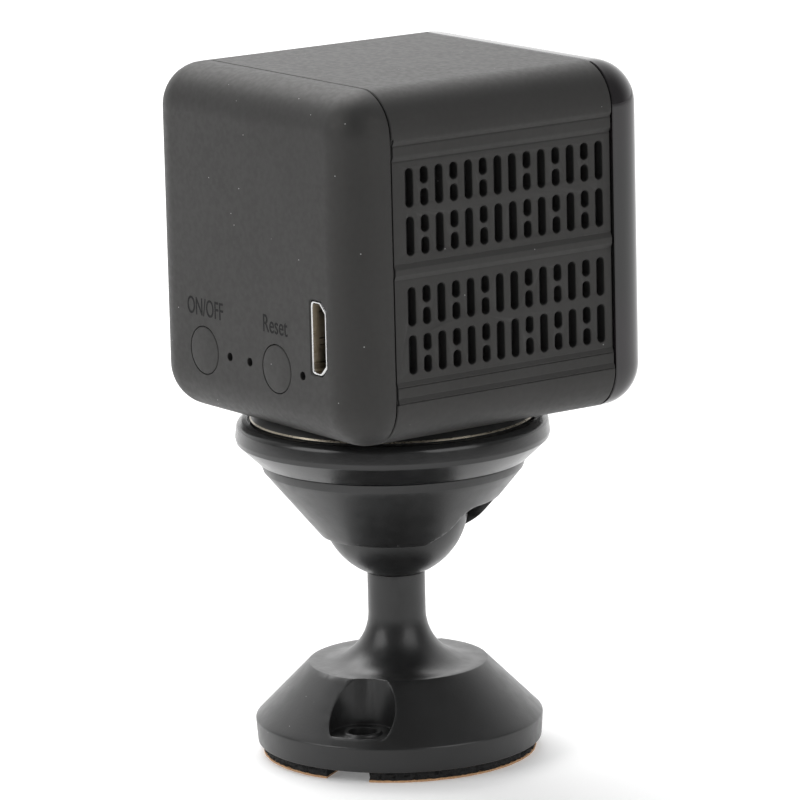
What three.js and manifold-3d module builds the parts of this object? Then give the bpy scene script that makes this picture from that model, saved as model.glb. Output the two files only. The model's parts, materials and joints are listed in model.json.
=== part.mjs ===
// A cube security camera held by its steel-backed floor on the magnet of a small ball-joint stand.
// Millimetres. +Z is up, the lens looks along -Y, and the origin is on the stand's axis, under the base.

import * as THREE from "three";
import { mergeVertices } from "three/addons/utils/BufferGeometryUtils.js";
import Module from "manifold-3d";

const wasm = await Module();
wasm.setup();

// ---------------------------------------------------------------- driving sizes

// camera body
const camWidth = 37; // X
const camHeight = 37; // Z
const camLength = 39; // Y
const cornerRadius = 4.7; // of the square section
const edgeRadius = 4.5; // from a cover's face to its sides
const coverDepth = 5.3;
const coverWall = 1.4;
const housingWall = 1.6;
const seamGap = 0.14;
const camOffsetX = -0.8; // the camera stands a little off the magnet's centre
const camOffsetY = -1.1;

// grille in both side walls
const stepDepth = 0.2; // the panel lies two such steps below the side face
const stepRun = 0.6;
const outerStepMargin = 0.05; // from the first step to the corner's rounding
const stepSpacing = 1.65; // from the first step to the second
const ribHalf = 0.37; // flat of the rib between the two panels
const ribRun = 0.5;
const slotWidth = 1.0;
const slotSplit = 0.5; // between the two short slots of a pair
const rowGap = 0.95;
const panelMargin = 0.78; // from a panel's edge to its slots
const grilleMargin = 1.45; // from a seam to the slots
const grilleShift = -0.42; // the grille's middle along Y
const rowDrop = 0.15; // the grille's middle below the side's middle
const columnKinds = "LSLSLSLLSLSLSL"; // L one long slot, S two short ones, from the rear

// rear face: places across are from the camera's middle, heights from its underside
const buttonRadius = 2.56;
const buttonGap = 0.12;
const buttonFlange = 0.64; // how far the flange reaches past the cap
const buttonTravel = 0.4;
const buttonRowHeight = 7.2;
const powerX = 8.79;
const resetX = -4.56;
const pinHoleRadius = 0.45;
const lightXs = [4.06, 0.39];
const microphoneX = -9.25;
const usbFromSide = 6.27;
const usbMiddleHeight = 11.5;
const usbHeight = 7.7;
const usbWidth = 2.65;
const usbChamfer = 0.95;
const usbWall = 0.3;
const usbDepth = 5.4;
const fitGap = 0.1; // between a piece and the hole that it sits in

// front face
const windowMargin = 0.4; // from the window to the cover's rounded edge
const windowThick = 1.0;
const lensRadius = 3.5;
const lensRingWall = 0.8;
const ledRadius = 1.5;
const ledInset = 4.4; // from the window's edge to the lamps' circle
const ledCount = 6;

// inside
const boardThick = 1.0;
const boardMargin = 1.9; // from a board's edge to the housing's wall
const lensSpace = 6.15; // from the lamp board to the main board
const cellSpace = [6, 5]; // in front of the cell and behind it
const cellMargin = 3.9;
const screwRadius = 0.7;
const boardScrewHead = 1.3;
const meshThick = 0.25;

// stand
const linerThick = 0.2;
const padThick = 0.95;
const padRadius = 14.7;
const baseRadius = 15.45;
const baseRim = 2.65; // height of the upright rim
const skirtHeight = 5.92;
const plateauRadius = 9.6;
const stemRadius = 3.09;
const flareHeight = 5.35;
const flareReach = 5.2;
const pocketRadius = 3.5; // screw pocket in the skirt
const pocketCircle = 12.4;
const pocketAngle = 126; // degrees from +X; the other pocket is opposite
const pocketHoleRadius = 1.5;
const pocketFloor = 0.85; // above the upright rim
const notchTurn = -4.5; // the pad is stuck on a little out of line with the pockets
const notchWidth = 4.9;
const spigotRadius = 2.0;

// ball joint
const ballRadius = 7.88;
const ballHeight = 25.6; // centre above the base's underside
const ballTopFlat = 2.1; // cut off the ball's top
const ballBottomMargin = 0.25; // the flat under the ball is this much wider than the stem
const seatGap = 0.2;
const cupWall = 0.65;
const cupTop = 25; // polar angles of the friction cup's edges
const cupBottom = 62;
const slotAngle = 210; // where the socket's slot lies, degrees from +X
const slotClearance = 1.0; // on each side of the stem
const slotTop = 1.15; // above the ball's centre
const rimDrop = 2.96; // socket rim below the ball's centre
const rimWall = 0.45;

// head: levels below the camera's underside
const cupSpace = 2.1; // from the friction cup's outer sphere to the camera's underside
const ringTop = 1.05;
const ringWide = 3.35; // level of the largest radius
const ringRadius = 16.7;
const ringBottom = 5.55;
const ringBottomRadius = 14.45;
const coneBand = 0.95;
const coneBandRadius = 13.9;
const coneStep = 0.25;
const plateRadius = 15.2;
const plateThick = 1.5;
const magnetThick = 2.1;
const magnetRadius = 14.2;
const headScrewInset = 2.1; // from the bore to the screws' circle
const headScrewCount = 3;

// ---------------------------------------------------------------- worked-out places

const baseBottom = linerThick + padThick;
const rimTop = baseBottom + baseRim;
const plateauTop = rimTop + skirtHeight;
const ballZ = baseBottom + ballHeight;
const ballTopCut = ballRadius - ballTopFlat;
const ballBottomCut = Math.sqrt(ballRadius ** 2 - (stemRadius + ballBottomMargin) ** 2);
const slotHalf = stemRadius + slotClearance;
const camBottom = ballZ + ballRadius + seatGap + cupWall + cupSpace;
const restGap = 0.02; // between flat faces that rest on each other
const camCentre = new THREE.Vector3(
  camOffsetX,
  camOffsetY,
  camBottom + restGap + camHeight / 2,
);
const halfW = camWidth / 2;
const halfH = camHeight / 2;
const halfL = camLength / 2;
const seamY = halfL - coverDepth;
const housingHalf = seamY - seamGap / 2;
const coverStart = seamY + seamGap / 2;
const coverInner = halfL - coverWall; // inner face of the front and rear walls
const coverEdge = Math.min(edgeRadius, cornerRadius - 0.2);
const windowRadius = Math.min(halfW, halfH) - coverEdge - windowMargin;
const ledCircle = windowRadius - ledInset;

// grille: two rows of slots fill each panel, and the columns fill the wall between the seams
const outerStepStart = halfH - cornerRadius - outerStepMargin;
const innerStepStart = outerStepStart - stepSpacing;
const panelLow = ribHalf + ribRun;
const panelHigh = innerStepStart - stepRun;
const longSlot = (panelHigh - panelLow - 2 * panelMargin - rowGap) / 2;
const shortSlot = (longSlot - slotSplit) / 2;
const rowHigh = panelHigh - panelMargin - longSlot / 2;
const rowLow = panelLow + panelMargin + longSlot / 2;
const rowHeights = [rowHigh, rowLow, -rowLow, -rowHigh].map((z) => z - rowDrop);
const slotPitch = (2 * (housingHalf - grilleMargin) - slotWidth) / (columnKinds.length - 1);

// rear face: [x, z] from the camera's middle
const buttonRow = buttonRowHeight - halfH;
const powerPlace = [powerX, buttonRow];
const resetPlace = [resetX, buttonRow];
const lightPlaces = lightXs.map((x) => [x, buttonRow]);
const microphonePlace = [microphoneX, buttonRow];
const usbPlace = [usbFromSide - halfW, usbMiddleHeight - halfH];

const roundSides = 24;
const standSides = 30;
const smallSides = 12;

// ---------------------------------------------------------------- materials

function plastic(color, roughness) {
  return new THREE.MeshStandardMaterial({ color, roughness, metalness: 0 });
}

function metal(color, roughness) {
  return new THREE.MeshStandardMaterial({ color, roughness, metalness: 1 });
}

const look = {
  matteBlack: () => plastic(0x262626, 0.6),
  glossBlack: () => plastic(0x0c0a0b, 0.12),
  standBlack: () => plastic(0x1c1d1d, 0.35),
  foam: () => plastic(0x0b0b0b, 0.95),
  kraft: () => plastic(0xa97a52, 0.8),
  nylon: () => plastic(0x39393b, 0.5),
  steel: () => metal(0xb9babc, 0.3),
  magnet: () => metal(0x6f7072, 0.4),
  board: () => plastic(0x123a22, 0.45),
  chip: () => plastic(0x131315, 0.4),
  cell: () => metal(0xa6a9ad, 0.45),
  lamp: () => plastic(0xd8dade, 0.2),
  mesh: () => plastic(0x101011, 0.9),
  glass: () => plastic(0x14101c, 0.04),
};

// ---------------------------------------------------------------- solids

// A closed three.js geometry as a solid that can be joined and cut.
function solid(geometry) {
  const bare = geometry.index ? geometry.toNonIndexed() : geometry.clone();
  bare.deleteAttribute("normal");
  bare.deleteAttribute("uv");
  const merged = mergeVertices(bare, 1e-4);
  const mesh = new wasm.Mesh({
    numProp: 3,
    vertProperties: merged.attributes.position.array,
    triVerts: new Uint32Array(merged.index.array),
  });
  return new wasm.Manifold(mesh);
}

function geometryOf(made) {
  const mesh = made.getMesh();
  const geometry = new THREE.BufferGeometry();
  const place = new THREE.BufferAttribute(new Float32Array(mesh.vertProperties), 3);
  geometry.setAttribute("position", place);
  geometry.setIndex(new THREE.BufferAttribute(new Uint32Array(mesh.triVerts), 1));
  return geometry;
}

function cut(body, ...tools) {
  return tools.reduce((rest, tool) => rest.subtract(tool), body);
}

function piece(name, body, material) {
  const mesh = new THREE.Mesh(geometryOf(body), material);
  mesh.name = name;
  return mesh;
}

// A solid of revolution about Z from a closed [radius, z] profile, in either direction.
function turned(profile, sides = roundSides) {
  const loop = [...profile];
  if (loop[0][0] !== 0) loop.push(loop[0]);
  let area = 0;
  loop.forEach(([r, z], i) => {
    const [nextR, nextZ] = loop[(i + 1) % loop.length];
    area += r * nextZ - nextR * z;
  });
  if (area < 0) loop.reverse();
  const points = loop.map(([r, z]) => new THREE.Vector2(r, z));
  const geometry = new THREE.LatheGeometry(points, sides);
  return solid(geometry.rotateX(Math.PI / 2));
}

// A disc or ring about Z between two heights.
function disc(radius, z0, z1, hole = 0, sides = roundSides) {
  return turned([[hole, z0], [radius, z0], [radius, z1], [hole, z1]], sides);
}

// The same along Y, through [x, z].
function discY(radius, y0, y1, place = [0, 0], hole = 0, sides = roundSides) {
  return onY(disc(radius, y0, y1, hole, sides), place);
}

// Turns a solid made about Z so that its axis lies along Y and passes through [x, z].
function onY(body, [x, z]) {
  const geometry = geometryOf(body).rotateX(-Math.PI / 2).translate(x, 0, z);
  return solid(geometry);
}

function box(x, y, z) {
  const [width, depth, height] = [x[1] - x[0], y[1] - y[0], z[1] - z[0]];
  const geometry = new THREE.BoxGeometry(width, depth, height);
  return solid(geometry.translate(x[0] + width / 2, y[0] + depth / 2, z[0] + height / 2));
}

const alongX = new THREE.Matrix4().makeBasis(
  new THREE.Vector3(0, 1, 0),
  new THREE.Vector3(0, 0, 1),
  new THREE.Vector3(1, 0, 0),
);
const alongY = new THREE.Matrix4().makeBasis(
  new THREE.Vector3(1, 0, 0),
  new THREE.Vector3(0, 0, 1),
  new THREE.Vector3(0, -1, 0),
);

// An (x, z) outline extruded from y0 to y1.
function slabY(shapes, y0, y1) {
  const options = { depth: y1 - y0, bevelEnabled: false, curveSegments: 4 };
  const geometry = new THREE.ExtrudeGeometry(shapes, options);
  return solid(geometry.applyMatrix4(alongY).translate(0, y1, 0));
}

// A (y, z) outline extruded from x0 to x1.
function slabX(shapes, x0, x1) {
  const options = { depth: x1 - x0, bevelEnabled: false, curveSegments: 4 };
  const geometry = new THREE.ExtrudeGeometry(shapes, options);
  return solid(geometry.applyMatrix4(alongX).translate(x0, 0, 0));
}

// Points of a rounded rectangle about the origin, anticlockwise, with the same count at any size.
function roundedPoints(width, height, radius, steps = 4) {
  const points = [];
  const corners = [[1, 1, 0], [-1, 1, 90], [-1, -1, 180], [1, -1, 270]];
  for (const [sx, sy, start] of corners) {
    const cx = sx * (width / 2 - radius);
    const cy = sy * (height / 2 - radius);
    for (let i = 0; i <= steps; i++) {
      const a = THREE.MathUtils.degToRad(start + (90 * i) / steps);
      points.push([cx + radius * Math.cos(a), cy + radius * Math.sin(a)]);
    }
  }
  return points;
}

function shapeOf(points) {
  return new THREE.Shape(points.map(([x, y]) => new THREE.Vector2(x, y)));
}

// A square cap with rounded edges: its open side at y = 0, its face at y = depth.
function roundedCap(width, height, radius, edge, depth) {
  const levels = [[0, 0]];
  const steps = 4;
  for (let i = 0; i <= steps; i++) {
    const a = (i / steps) * (Math.PI / 2);
    levels.push([depth - edge + edge * Math.sin(a), edge * (1 - Math.cos(a))]);
  }
  const loops = levels.map(([y, inset]) =>
    roundedPoints(width - 2 * inset, height - 2 * inset, radius - inset).map(
      ([x, z]) => [x, y, z],
    ),
  );
  const count = loops[0].length;
  const triangles = [];
  for (let i = 0; i < loops.length - 1; i++) {
    for (let j = 0; j < count; j++) {
      const k = (j + 1) % count;
      const [a, b, c, d] = [loops[i][j], loops[i][k], loops[i + 1][k], loops[i + 1][j]];
      triangles.push(a, c, b, a, d, c);
    }
  }
  const [first, last] = [loops[0], loops[loops.length - 1]];
  for (let j = 1; j < count - 1; j++) {
    triangles.push(first[0], first[j], first[j + 1]);
    triangles.push(last[0], last[j + 1], last[j]);
  }
  const geometry = new THREE.BufferGeometry();
  const place = new Float32Array(triangles.flat());
  return solid(geometry.setAttribute("position", new THREE.BufferAttribute(place, 3)));
}

// The cap turned and placed: side 1 faces +Y, side -1 faces -Y.
function shell(side) {
  const outer = roundedCap(camWidth, camHeight, cornerRadius, coverEdge, coverDepth - seamGap / 2);
  const inner = roundedCap(
    camWidth - 2 * coverWall,
    camHeight - 2 * coverWall,
    cornerRadius - coverWall,
    coverEdge - coverWall,
    coverDepth - seamGap / 2 - coverWall,
  );
  const mouth = slabY(
    shapeOf(roundedPoints(camWidth - 2 * coverWall, camHeight - 2 * coverWall, cornerRadius - coverWall)),
    -1,
    0.01,
  );
  const hollow = cut(outer, inner, mouth);
  const geometry = geometryOf(hollow);
  if (side < 0) geometry.rotateZ(Math.PI);
  return solid(geometry.translate(0, side * coverStart, 0));
}

// ---------------------------------------------------------------- stand

function arc(cx, cz, radius, from, to, steps) {
  const points = [];
  for (let i = 0; i <= steps; i++) {
    const a = THREE.MathUtils.degToRad(from + ((to - from) * i) / steps);
    points.push([cx + radius * Math.cos(a), cz + radius * Math.sin(a)]);
  }
  return points;
}

const stemTop = ballZ - ballBottomCut - fitGap;
const spigotTop = ballZ - 0.8;
const screwBore = 1.3; // clears the ball screw
const screwBoreDepth = 5;

function baseProfile() {
  const flare = [];
  const steps = 5;
  for (let i = 0; i <= steps; i++) {
    const a = (i / steps) * (Math.PI / 2);
    const r = stemRadius + flareReach * (1 - Math.sin(a));
    const z = plateauTop + flareHeight * (1 - Math.cos(a));
    flare.push([r, z]);
  }
  return [
    [0, baseBottom],
    [baseRadius - 0.35, baseBottom],
    [baseRadius - 0.1, baseBottom + 0.3],
    [baseRadius, rimTop - 0.3],
    [baseRadius - 0.25, rimTop + 0.1],
    [plateauRadius + 0.1, plateauTop - 0.1],
    [plateauRadius - 0.15, plateauTop],
    ...flare,
    [stemRadius, stemTop],
    [spigotRadius, stemTop],
    [spigotRadius, spigotTop],
    [screwBore, spigotTop],
    [screwBore, spigotTop - screwBoreDepth],
    [0, spigotTop - screwBoreDepth],
  ];
}

function pocketCentre(turn) {
  const a = THREE.MathUtils.degToRad(pocketAngle + turn);
  return [pocketCircle * Math.cos(a), pocketCircle * Math.sin(a)];
}

function standing(body, [x, y]) {
  return solid(geometryOf(body).translate(x, y, 0));
}

function base() {
  const pockets = [0, 180].map((turn) =>
    standing(
      disc(pocketRadius, rimTop + pocketFloor, plateauTop + flareHeight, 0, 20),
      pocketCentre(turn),
    ),
  );
  const holes = [0, 180].map((turn) =>
    standing(disc(pocketHoleRadius, 0, rimTop + pocketFloor + 1, 0, smallSides), pocketCentre(turn)),
  );
  return cut(turned(baseProfile(), standSides), ...pockets, ...holes);
}

// The adhesive pad and its liner: a disc with a notch at each pocket, open to the edge.
function padLayer(z0, z1) {
  const notch = box(
    [pocketCircle - notchWidth / 2, baseRadius],
    [-notchWidth / 2, notchWidth / 2],
    [z0 - 1, z1 + 1],
  );
  const notches = [0, 180].map((turn) => {
    const a = THREE.MathUtils.degToRad(pocketAngle + notchTurn + turn);
    return solid(geometryOf(notch).rotateZ(a));
  });
  return cut(disc(padRadius, z0, z1, 0, standSides), ...notches);
}

const stand = new THREE.Group();
stand.add(
  piece("base", base(), look.standBlack()),
  piece("foam_pad", padLayer(linerThick, baseBottom), look.foam()),
  piece("release_liner", padLayer(0, linerThick), look.kraft()),
);

// ---------------------------------------------------------------- ball and friction cup

const ballScrewHead = 2.2;

function ball() {
  const low = THREE.MathUtils.radToDeg(Math.asin(-ballBottomCut / ballRadius));
  const high = THREE.MathUtils.radToDeg(Math.asin(ballTopCut / ballRadius));
  const profile = [
    ...arc(0, 0, ballRadius, low, high, 9),
    [ballScrewHead + fitGap, ballTopCut],
    [ballScrewHead + fitGap, ballTopCut - 2],
    [screwBore, ballTopCut - 2],
    [screwBore, -0.5],
    [spigotRadius + seatGap, -0.5],
    [spigotRadius + seatGap, -ballBottomCut],
  ];
  return turned(profile.map(([r, z]) => [r, ballZ + z]));
}

function ballScrew() {
  const headTop = ballZ + ballTopCut - 0.3;
  const headLow = ballZ + ballTopCut - 2 + fitGap;
  return turned(
    [
      [0, headTop - 0.9],
      [0.8, headTop - 0.9],
      [0.8, headTop],
      [ballScrewHead, headTop],
      [ballScrewHead, headLow],
      [1.1, headLow],
      [1.1, spigotTop - screwBoreDepth + 0.4],
      [0, spigotTop - screwBoreDepth + 0.4],
    ],
    smallSides,
  );
}

function frictionCup() {
  const inner = ballRadius + seatGap;
  const outer = inner + cupWall;
  const profile = [
    ...arc(0, ballZ, inner, 90 - cupBottom, 90 - cupTop, 3),
    ...arc(0, ballZ, outer, 90 - cupTop, 90 - cupBottom, 3),
  ];
  return turned(profile);
}

const ballGroup = new THREE.Group();
ballGroup.add(
  piece("ball", ball(), look.standBlack()),
  piece("ball_screw", ballScrew(), look.steel()),
  piece("friction_cup", frictionCup(), look.nylon()),
);

// ---------------------------------------------------------------- head

const below = (level) => camBottom - level;
const seatRadius = ballRadius + seatGap;
const boreRadius = ballRadius + seatGap + cupWall + 0.35;
const headScrewCircle = boreRadius + headScrewInset;
const boreFloor = ballZ + 1.5;
const coneTop = below(ringBottom) - fitGap;
const rimZ = ballZ - rimDrop;
const rimInner = Math.sqrt(seatRadius ** 2 - rimDrop ** 2);

function socketCone() {
  const body = turned(
    [
      [0, rimZ],
      [rimInner + rimWall, rimZ],
      [coneBandRadius, coneTop - coneBand],
      [ringBottomRadius - coneStep, coneTop],
      [0, coneTop],
    ],
    standSides,
  );
  const seat = turned(arc(0, ballZ, seatRadius, -90, 90, 12));
  const bore = disc(boreRadius, boreFloor, coneTop + 1);
  const mouth = slabY(shapeOf(slotOutline()), 0, ringRadius);
  const turn = THREE.MathUtils.degToRad(slotAngle - 90);
  const slot = solid(geometryOf(mouth).rotateZ(turn));
  return cut(body, seat, bore, slot, ...headScrewTools(0.9));
}

// The slot seen along its direction: straight sides and rounded upper corners, open below.
function slotOutline() {
  const radius = 1.5;
  const top = ballZ + slotTop;
  return [
    [slotHalf, rimZ - 1],
    ...arc(slotHalf - radius, top - radius, radius, 0, 90, 3),
    ...arc(radius - slotHalf, top - radius, radius, 90, 180, 3),
    [-slotHalf, rimZ - 1],
  ];
}

const ringFloorTop = below(plateThick + 0.1 + magnetThick + 0.1);
const screwHeadThick = 0.9;
const screwHeadRadius = 1.6;
const screwShankRadius = 0.8;
const screwLength = 3.6;

function headScrewPlace(i) {
  const a = THREE.MathUtils.degToRad(slotAngle + (360 * i) / headScrewCount + 60);
  return [headScrewCircle * Math.cos(a), headScrewCircle * Math.sin(a)];
}

// Clearance holes for the screws that pull the ring and the cone together.
function headScrewTools(radius) {
  const deep = ringFloorTop - screwLength - 0.3;
  return Array.from({ length: headScrewCount }, (_, i) =>
    standing(disc(radius, deep, ringFloorTop + 1, 0, smallSides), headScrewPlace(i)),
  );
}

function mountRing() {
  const body = turned(
    [
      [boreRadius, below(ringBottom)],
      [ringBottomRadius, below(ringBottom)],
      [ringRadius - 0.12, below(ringWide + 0.1)],
      [ringRadius, below(ringWide - 0.15)],
      [ringRadius - 0.35, below(ringTop + 0.2)],
      [ringRadius - 0.7, below(ringTop)],
      [plateRadius + 0.25, below(ringTop)],
      [plateRadius + 0.25, below(plateThick + 0.1)],
      [magnetRadius + 0.2, below(plateThick + 0.1)],
      [magnetRadius + 0.2, ringFloorTop],
      [boreRadius, ringFloorTop],
    ],
    standSides,
  );
  const heads = Array.from({ length: headScrewCount }, (_, i) =>
    standing(
      disc(screwHeadRadius + 0.15, ringFloorTop - screwHeadThick - 0.1, ringFloorTop + 1, 0, smallSides),
      headScrewPlace(i),
    ),
  );
  return cut(body, ...headScrewTools(0.9), ...heads);
}

function headScrew(i) {
  const top = ringFloorTop - 0.05;
  const screw = turned(
    [
      [0, top],
      [screwHeadRadius, top],
      [screwHeadRadius, top - screwHeadThick],
      [screwShankRadius, top - screwHeadThick],
      [screwShankRadius, top - screwLength],
      [0, top - screwLength],
    ],
    smallSides,
  );
  return standing(screw, headScrewPlace(i));
}

const magnetBottom = ringFloorTop + 0.1;
const head = new THREE.Group();
head.add(
  piece("socket_cone", socketCone(), look.standBlack()),
  piece("mount_ring", mountRing(), look.standBlack()),
  piece(
    "magnet",
    disc(magnetRadius, magnetBottom, magnetBottom + magnetThick, boreRadius + 0.2),
    look.magnet(),
  ),
  piece(
    "wave_washer",
    disc(boreRadius - 0.3, below(plateThick + 0.5), below(plateThick + 0.15), 5.2, 24),
    look.steel(),
  ),
);
for (let i = 0; i < headScrewCount; i++) {
  head.add(piece(`head_screw_${i + 1}`, headScrew(i), look.steel()));
}

// The plate on the magnet, which the camera is stuck to and turns on.
const plateTop = below(0);
const plate = turned([
  [0, plateTop - plateThick + 0.05],
  [plateRadius, plateTop - plateThick + 0.05],
  [plateRadius, plateTop - 0.85],
  [plateRadius - 0.6, plateTop],
  [0, plateTop],
], standSides);
const magnetPlate = piece("magnet_plate", plate, look.steel());

// ---------------------------------------------------------------- camera shells

const camera = new THREE.Group();
camera.position.copy(camCentre);

function usbOutline(grow) {
  const [x, z] = usbPlace;
  const w = usbWidth / 2 + grow;
  const h = usbHeight / 2 + grow;
  const c = usbChamfer;
  return shapeOf([
    [x + w, z - h + 0.3],
    [x + w, z + h - 0.3],
    [x + w - 0.3, z + h],
    [x - w + c, z + h],
    [x - w, z + h - c],
    [x - w, z - h + c],
    [x - w + c, z - h],
    [x + w - 0.3, z - h],
  ]);
}

function rearCover() {
  const through = [coverInner - 1, halfL + 1];
  const buttons = [powerPlace, resetPlace].map((place) =>
    discY(buttonRadius + buttonGap, ...through, place, 0, 20),
  );
  const pins = [...lightPlaces, microphonePlace].map((place) =>
    discY(pinHoleRadius, ...through, place, 0, 8),
  );
  return cut(shell(1), ...buttons, ...pins, slabY(usbOutline(fitGap), ...through));
}

function frontCover() {
  const lip = 0.8;
  const seat = discY(windowRadius + fitGap, -halfL - 1, -halfL + windowThick + 0.1);
  const sight = discY(windowRadius - lip, -halfL - 1, -coverInner + 1);
  return cut(shell(-1), seat, sight);
}

// The side wall's section, from below to above, as [distance from the middle, z].
function sideSection() {
  const deep = 2 * stepDepth;
  const upper = [
    [halfW - stepDepth, ribHalf],
    [halfW - deep, ribHalf + ribRun],
    [halfW - deep, innerStepStart - stepRun],
    [halfW - stepDepth, innerStepStart],
    [halfW - stepDepth, outerStepStart - stepRun],
    [halfW, outerStepStart],
  ];
  const lower = upper.map(([x, z]) => [x, -z]).reverse();
  return [...lower, ...upper];
}

function housingOutline() {
  const rounded = roundedPoints(camWidth, camHeight, cornerRadius);
  const top = rounded.filter(([, z]) => z > 0);
  const bottom = rounded.filter(([, z]) => z < 0);
  const right = sideSection();
  const left = right.map(([x, z]) => [-x, z]).reverse();
  const outline = shapeOf([...right, ...top, ...left, ...bottom]);
  const inner = roundedPoints(
    camWidth - 2 * housingWall,
    camHeight - 2 * housingWall,
    cornerRadius - housingWall,
  );
  outline.holes.push(shapeOf(inner.reverse()));
  return outline;
}

// One slot with pointed ends, in (y, z).
function slotShape(y, z, length) {
  const w = slotWidth / 2;
  const straight = length / 2 - w * 0.8;
  return shapeOf([
    [y + w, z - straight],
    [y + w, z + straight],
    [y, z + length / 2],
    [y - w, z + straight],
    [y - w, z - straight],
    [y, z - length / 2],
  ]);
}

function grilleShapes() {
  const shapes = [];
  const half = (longSlot - shortSlot) / 2;
  for (let i = 0; i < columnKinds.length; i++) {
    const y = grilleShift + slotPitch * ((columnKinds.length - 1) / 2 - i);
    for (const z of rowHeights) {
      if (columnKinds[i] === "L") {
        shapes.push(slotShape(y, z, longSlot));
        continue;
      }
      shapes.push(slotShape(y, z + half, shortSlot), slotShape(y, z - half, shortSlot));
    }
  }
  return shapes;
}

const windowFace = -halfL + 0.1;
const lensFront = windowFace + windowThick + 0.05;
const ledBoardFront = lensFront + 1.7;
const ledBoardBack = ledBoardFront + boardThick;
const mainBoardFront = ledBoardBack + lensSpace;
const mainBoardBack = mainBoardFront + boardThick;
const cardPlaceY = mainBoardBack + 0.85;
const cardWidth = 11;
const cardLength = 15;
const cardThick = 0.7;

function housing() {
  const tube = slabY(housingOutline(), -housingHalf, housingHalf);
  const innerWall = halfW - housingWall;
  const right = slabX(grilleShapes(), innerWall - 0.5, halfW + 0.5);
  const left = slabX(grilleShapes(), -halfW - 0.5, 0.5 - innerWall);
  const cardMouth = box(
    [-cardWidth / 2 - 0.3, cardWidth / 2 + 0.3],
    [cardPlaceY - cardThick / 2 - 0.2, cardPlaceY + cardThick / 2 + 0.2],
    [-halfH - 1, 1 + housingWall - halfH],
  );
  return cut(tube, right, left, cardMouth);
}

camera.add(
  piece("rear_cover", rearCover(), look.matteBlack()),
  piece("housing", housing(), look.matteBlack()),
  piece("front_cover", frontCover(), look.glossBlack()),
);

// ---------------------------------------------------------------- front: window, lens, lamps

const windowHole = lensRadius + lensRingWall + fitGap;

function lensRing() {
  const outer = lensRadius + lensRingWall;
  const front = windowFace + 0.05;
  const back = front + windowThick - 0.05;
  const profile = [
    [lensRadius - 0.4, front],
    [outer, front],
    [outer, back],
    [lensRadius - 0.9, back],
  ];
  return onY(turned(profile, 24), [0, 0]);
}

function lensBarrel() {
  const back = mainBoardFront - 1.6;
  return discY(lensRadius, lensFront + 0.05, back, [0, 0], lensRadius - 0.9, 24);
}

// A shallow dome that looks along -Y.
function dome(radius, height, front, place) {
  const sphere = (radius ** 2 + height ** 2) / (2 * height);
  const span = THREE.MathUtils.radToDeg(Math.asin(radius / sphere));
  const crown = arc(0, -front - sphere, sphere, 90 - span, 90, 4);
  return faceDown([...crown, [0, -front - height - 0.6], [radius, -front - height - 0.6]], place);
}

// A profile about Z with its top up, turned so that its top looks along -Y.
function faceDown(profile, [x, z]) {
  const geometry = geometryOf(turned(profile, smallSides)).rotateX(Math.PI / 2);
  return solid(geometry.translate(x, 0, z));
}

function lensHolder() {
  const front = ledBoardFront + 1.4;
  const foot = box([-6, 6], [mainBoardFront - 3, mainBoardFront - restGap], [-6, 6]);
  const tube = discY(lensRadius + 1.6, front, mainBoardFront - 2.9, [0, 0], 0, 24);
  const bore = discY(lensRadius + fitGap, front - 1, mainBoardFront - 1.5, [0, 0], 0, 24);
  const well = box([-3.4, 3.4], [mainBoardFront - 1.6, mainBoardFront + 1], [-3.4, 3.4]);
  return cut(foot.add(tube), bore, well);
}

function around(i, count) {
  const a = THREE.MathUtils.degToRad(90 + (360 * i) / count);
  return [ledCircle * Math.cos(a), ledCircle * Math.sin(a)];
}

function led(place, radius) {
  const front = -(lensFront + 0.4);
  const foot = -(ledBoardFront - 0.02);
  const shoulder = front - 0.5;
  return faceDown(
    [[0, foot], [radius, foot], [radius, shoulder], [radius * 0.7, front - 0.1], [0, front]],
    place,
  );
}

camera.add(
  piece(
    "front_window",
    discY(windowRadius, windowFace, windowFace + windowThick, [0, 0], windowHole),
    look.glass(),
  ),
  piece("lens_ring", lensRing(), look.glossBlack()),
  piece("lens_barrel", lensBarrel(), look.chip()),
  piece("lens_glass", dome(lensRadius - 1, 0.5, lensFront + 0.2, [0, 0]), look.glass()),
  piece("lens_holder", lensHolder(), look.chip()),
  piece(
    "image_sensor",
    box([-3, 3], [mainBoardFront - 0.9, mainBoardFront - restGap], [-3, 3]),
    look.chip(),
  ),
  piece(
    "led_board",
    discY(windowRadius - 1, ledBoardFront, ledBoardBack, [0, 0], lensRadius + 1.9, 24),
    look.board(),
  ),
);
const ringPlaces = ledCount + 2; // six lamps, the light sensor and the status light
for (let i = 0; i < ledCount; i++) {
  const step = i < ledCount / 2 ? i + 1 : i + 2;
  camera.add(piece(`ir_led_${i + 1}`, led(around(step, ringPlaces), ledRadius), look.lamp()));
}
camera.add(
  piece("light_sensor", led(around(0, ringPlaces), 1.2), look.lamp()),
  piece("front_status_light", led(around(ringPlaces / 2, ringPlaces), 1.0), look.lamp()),
);

// ---------------------------------------------------------------- boards, cell and small parts

const innerHalfW = halfW - housingWall;
const innerHalfH = halfH - housingWall;
const meshX = innerHalfW - 0.1; // outer face of the dust meshes
const plungerTop = coverInner - 1.7;
const rearBoardBack = plungerTop - 1.3;
const rearBoardFront = rearBoardBack - boardThick;
const rearBoardX = [usbPlace[0] + usbWidth / 2 + 0.6, innerHalfW - 1.9];
const boardHalf = innerHalfH - boardMargin;
const boardZ = [-boardHalf, boardHalf];
const frameBack = rearBoardFront - restGap;
const frameThick = 2.6;
const frameBand = 3.2;
const boardScrewZ = boardHalf - 0.7;
const boardScrews = [-8, 12].flatMap((x) => [[x, boardScrewZ], [x, -boardScrewZ]]);

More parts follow.
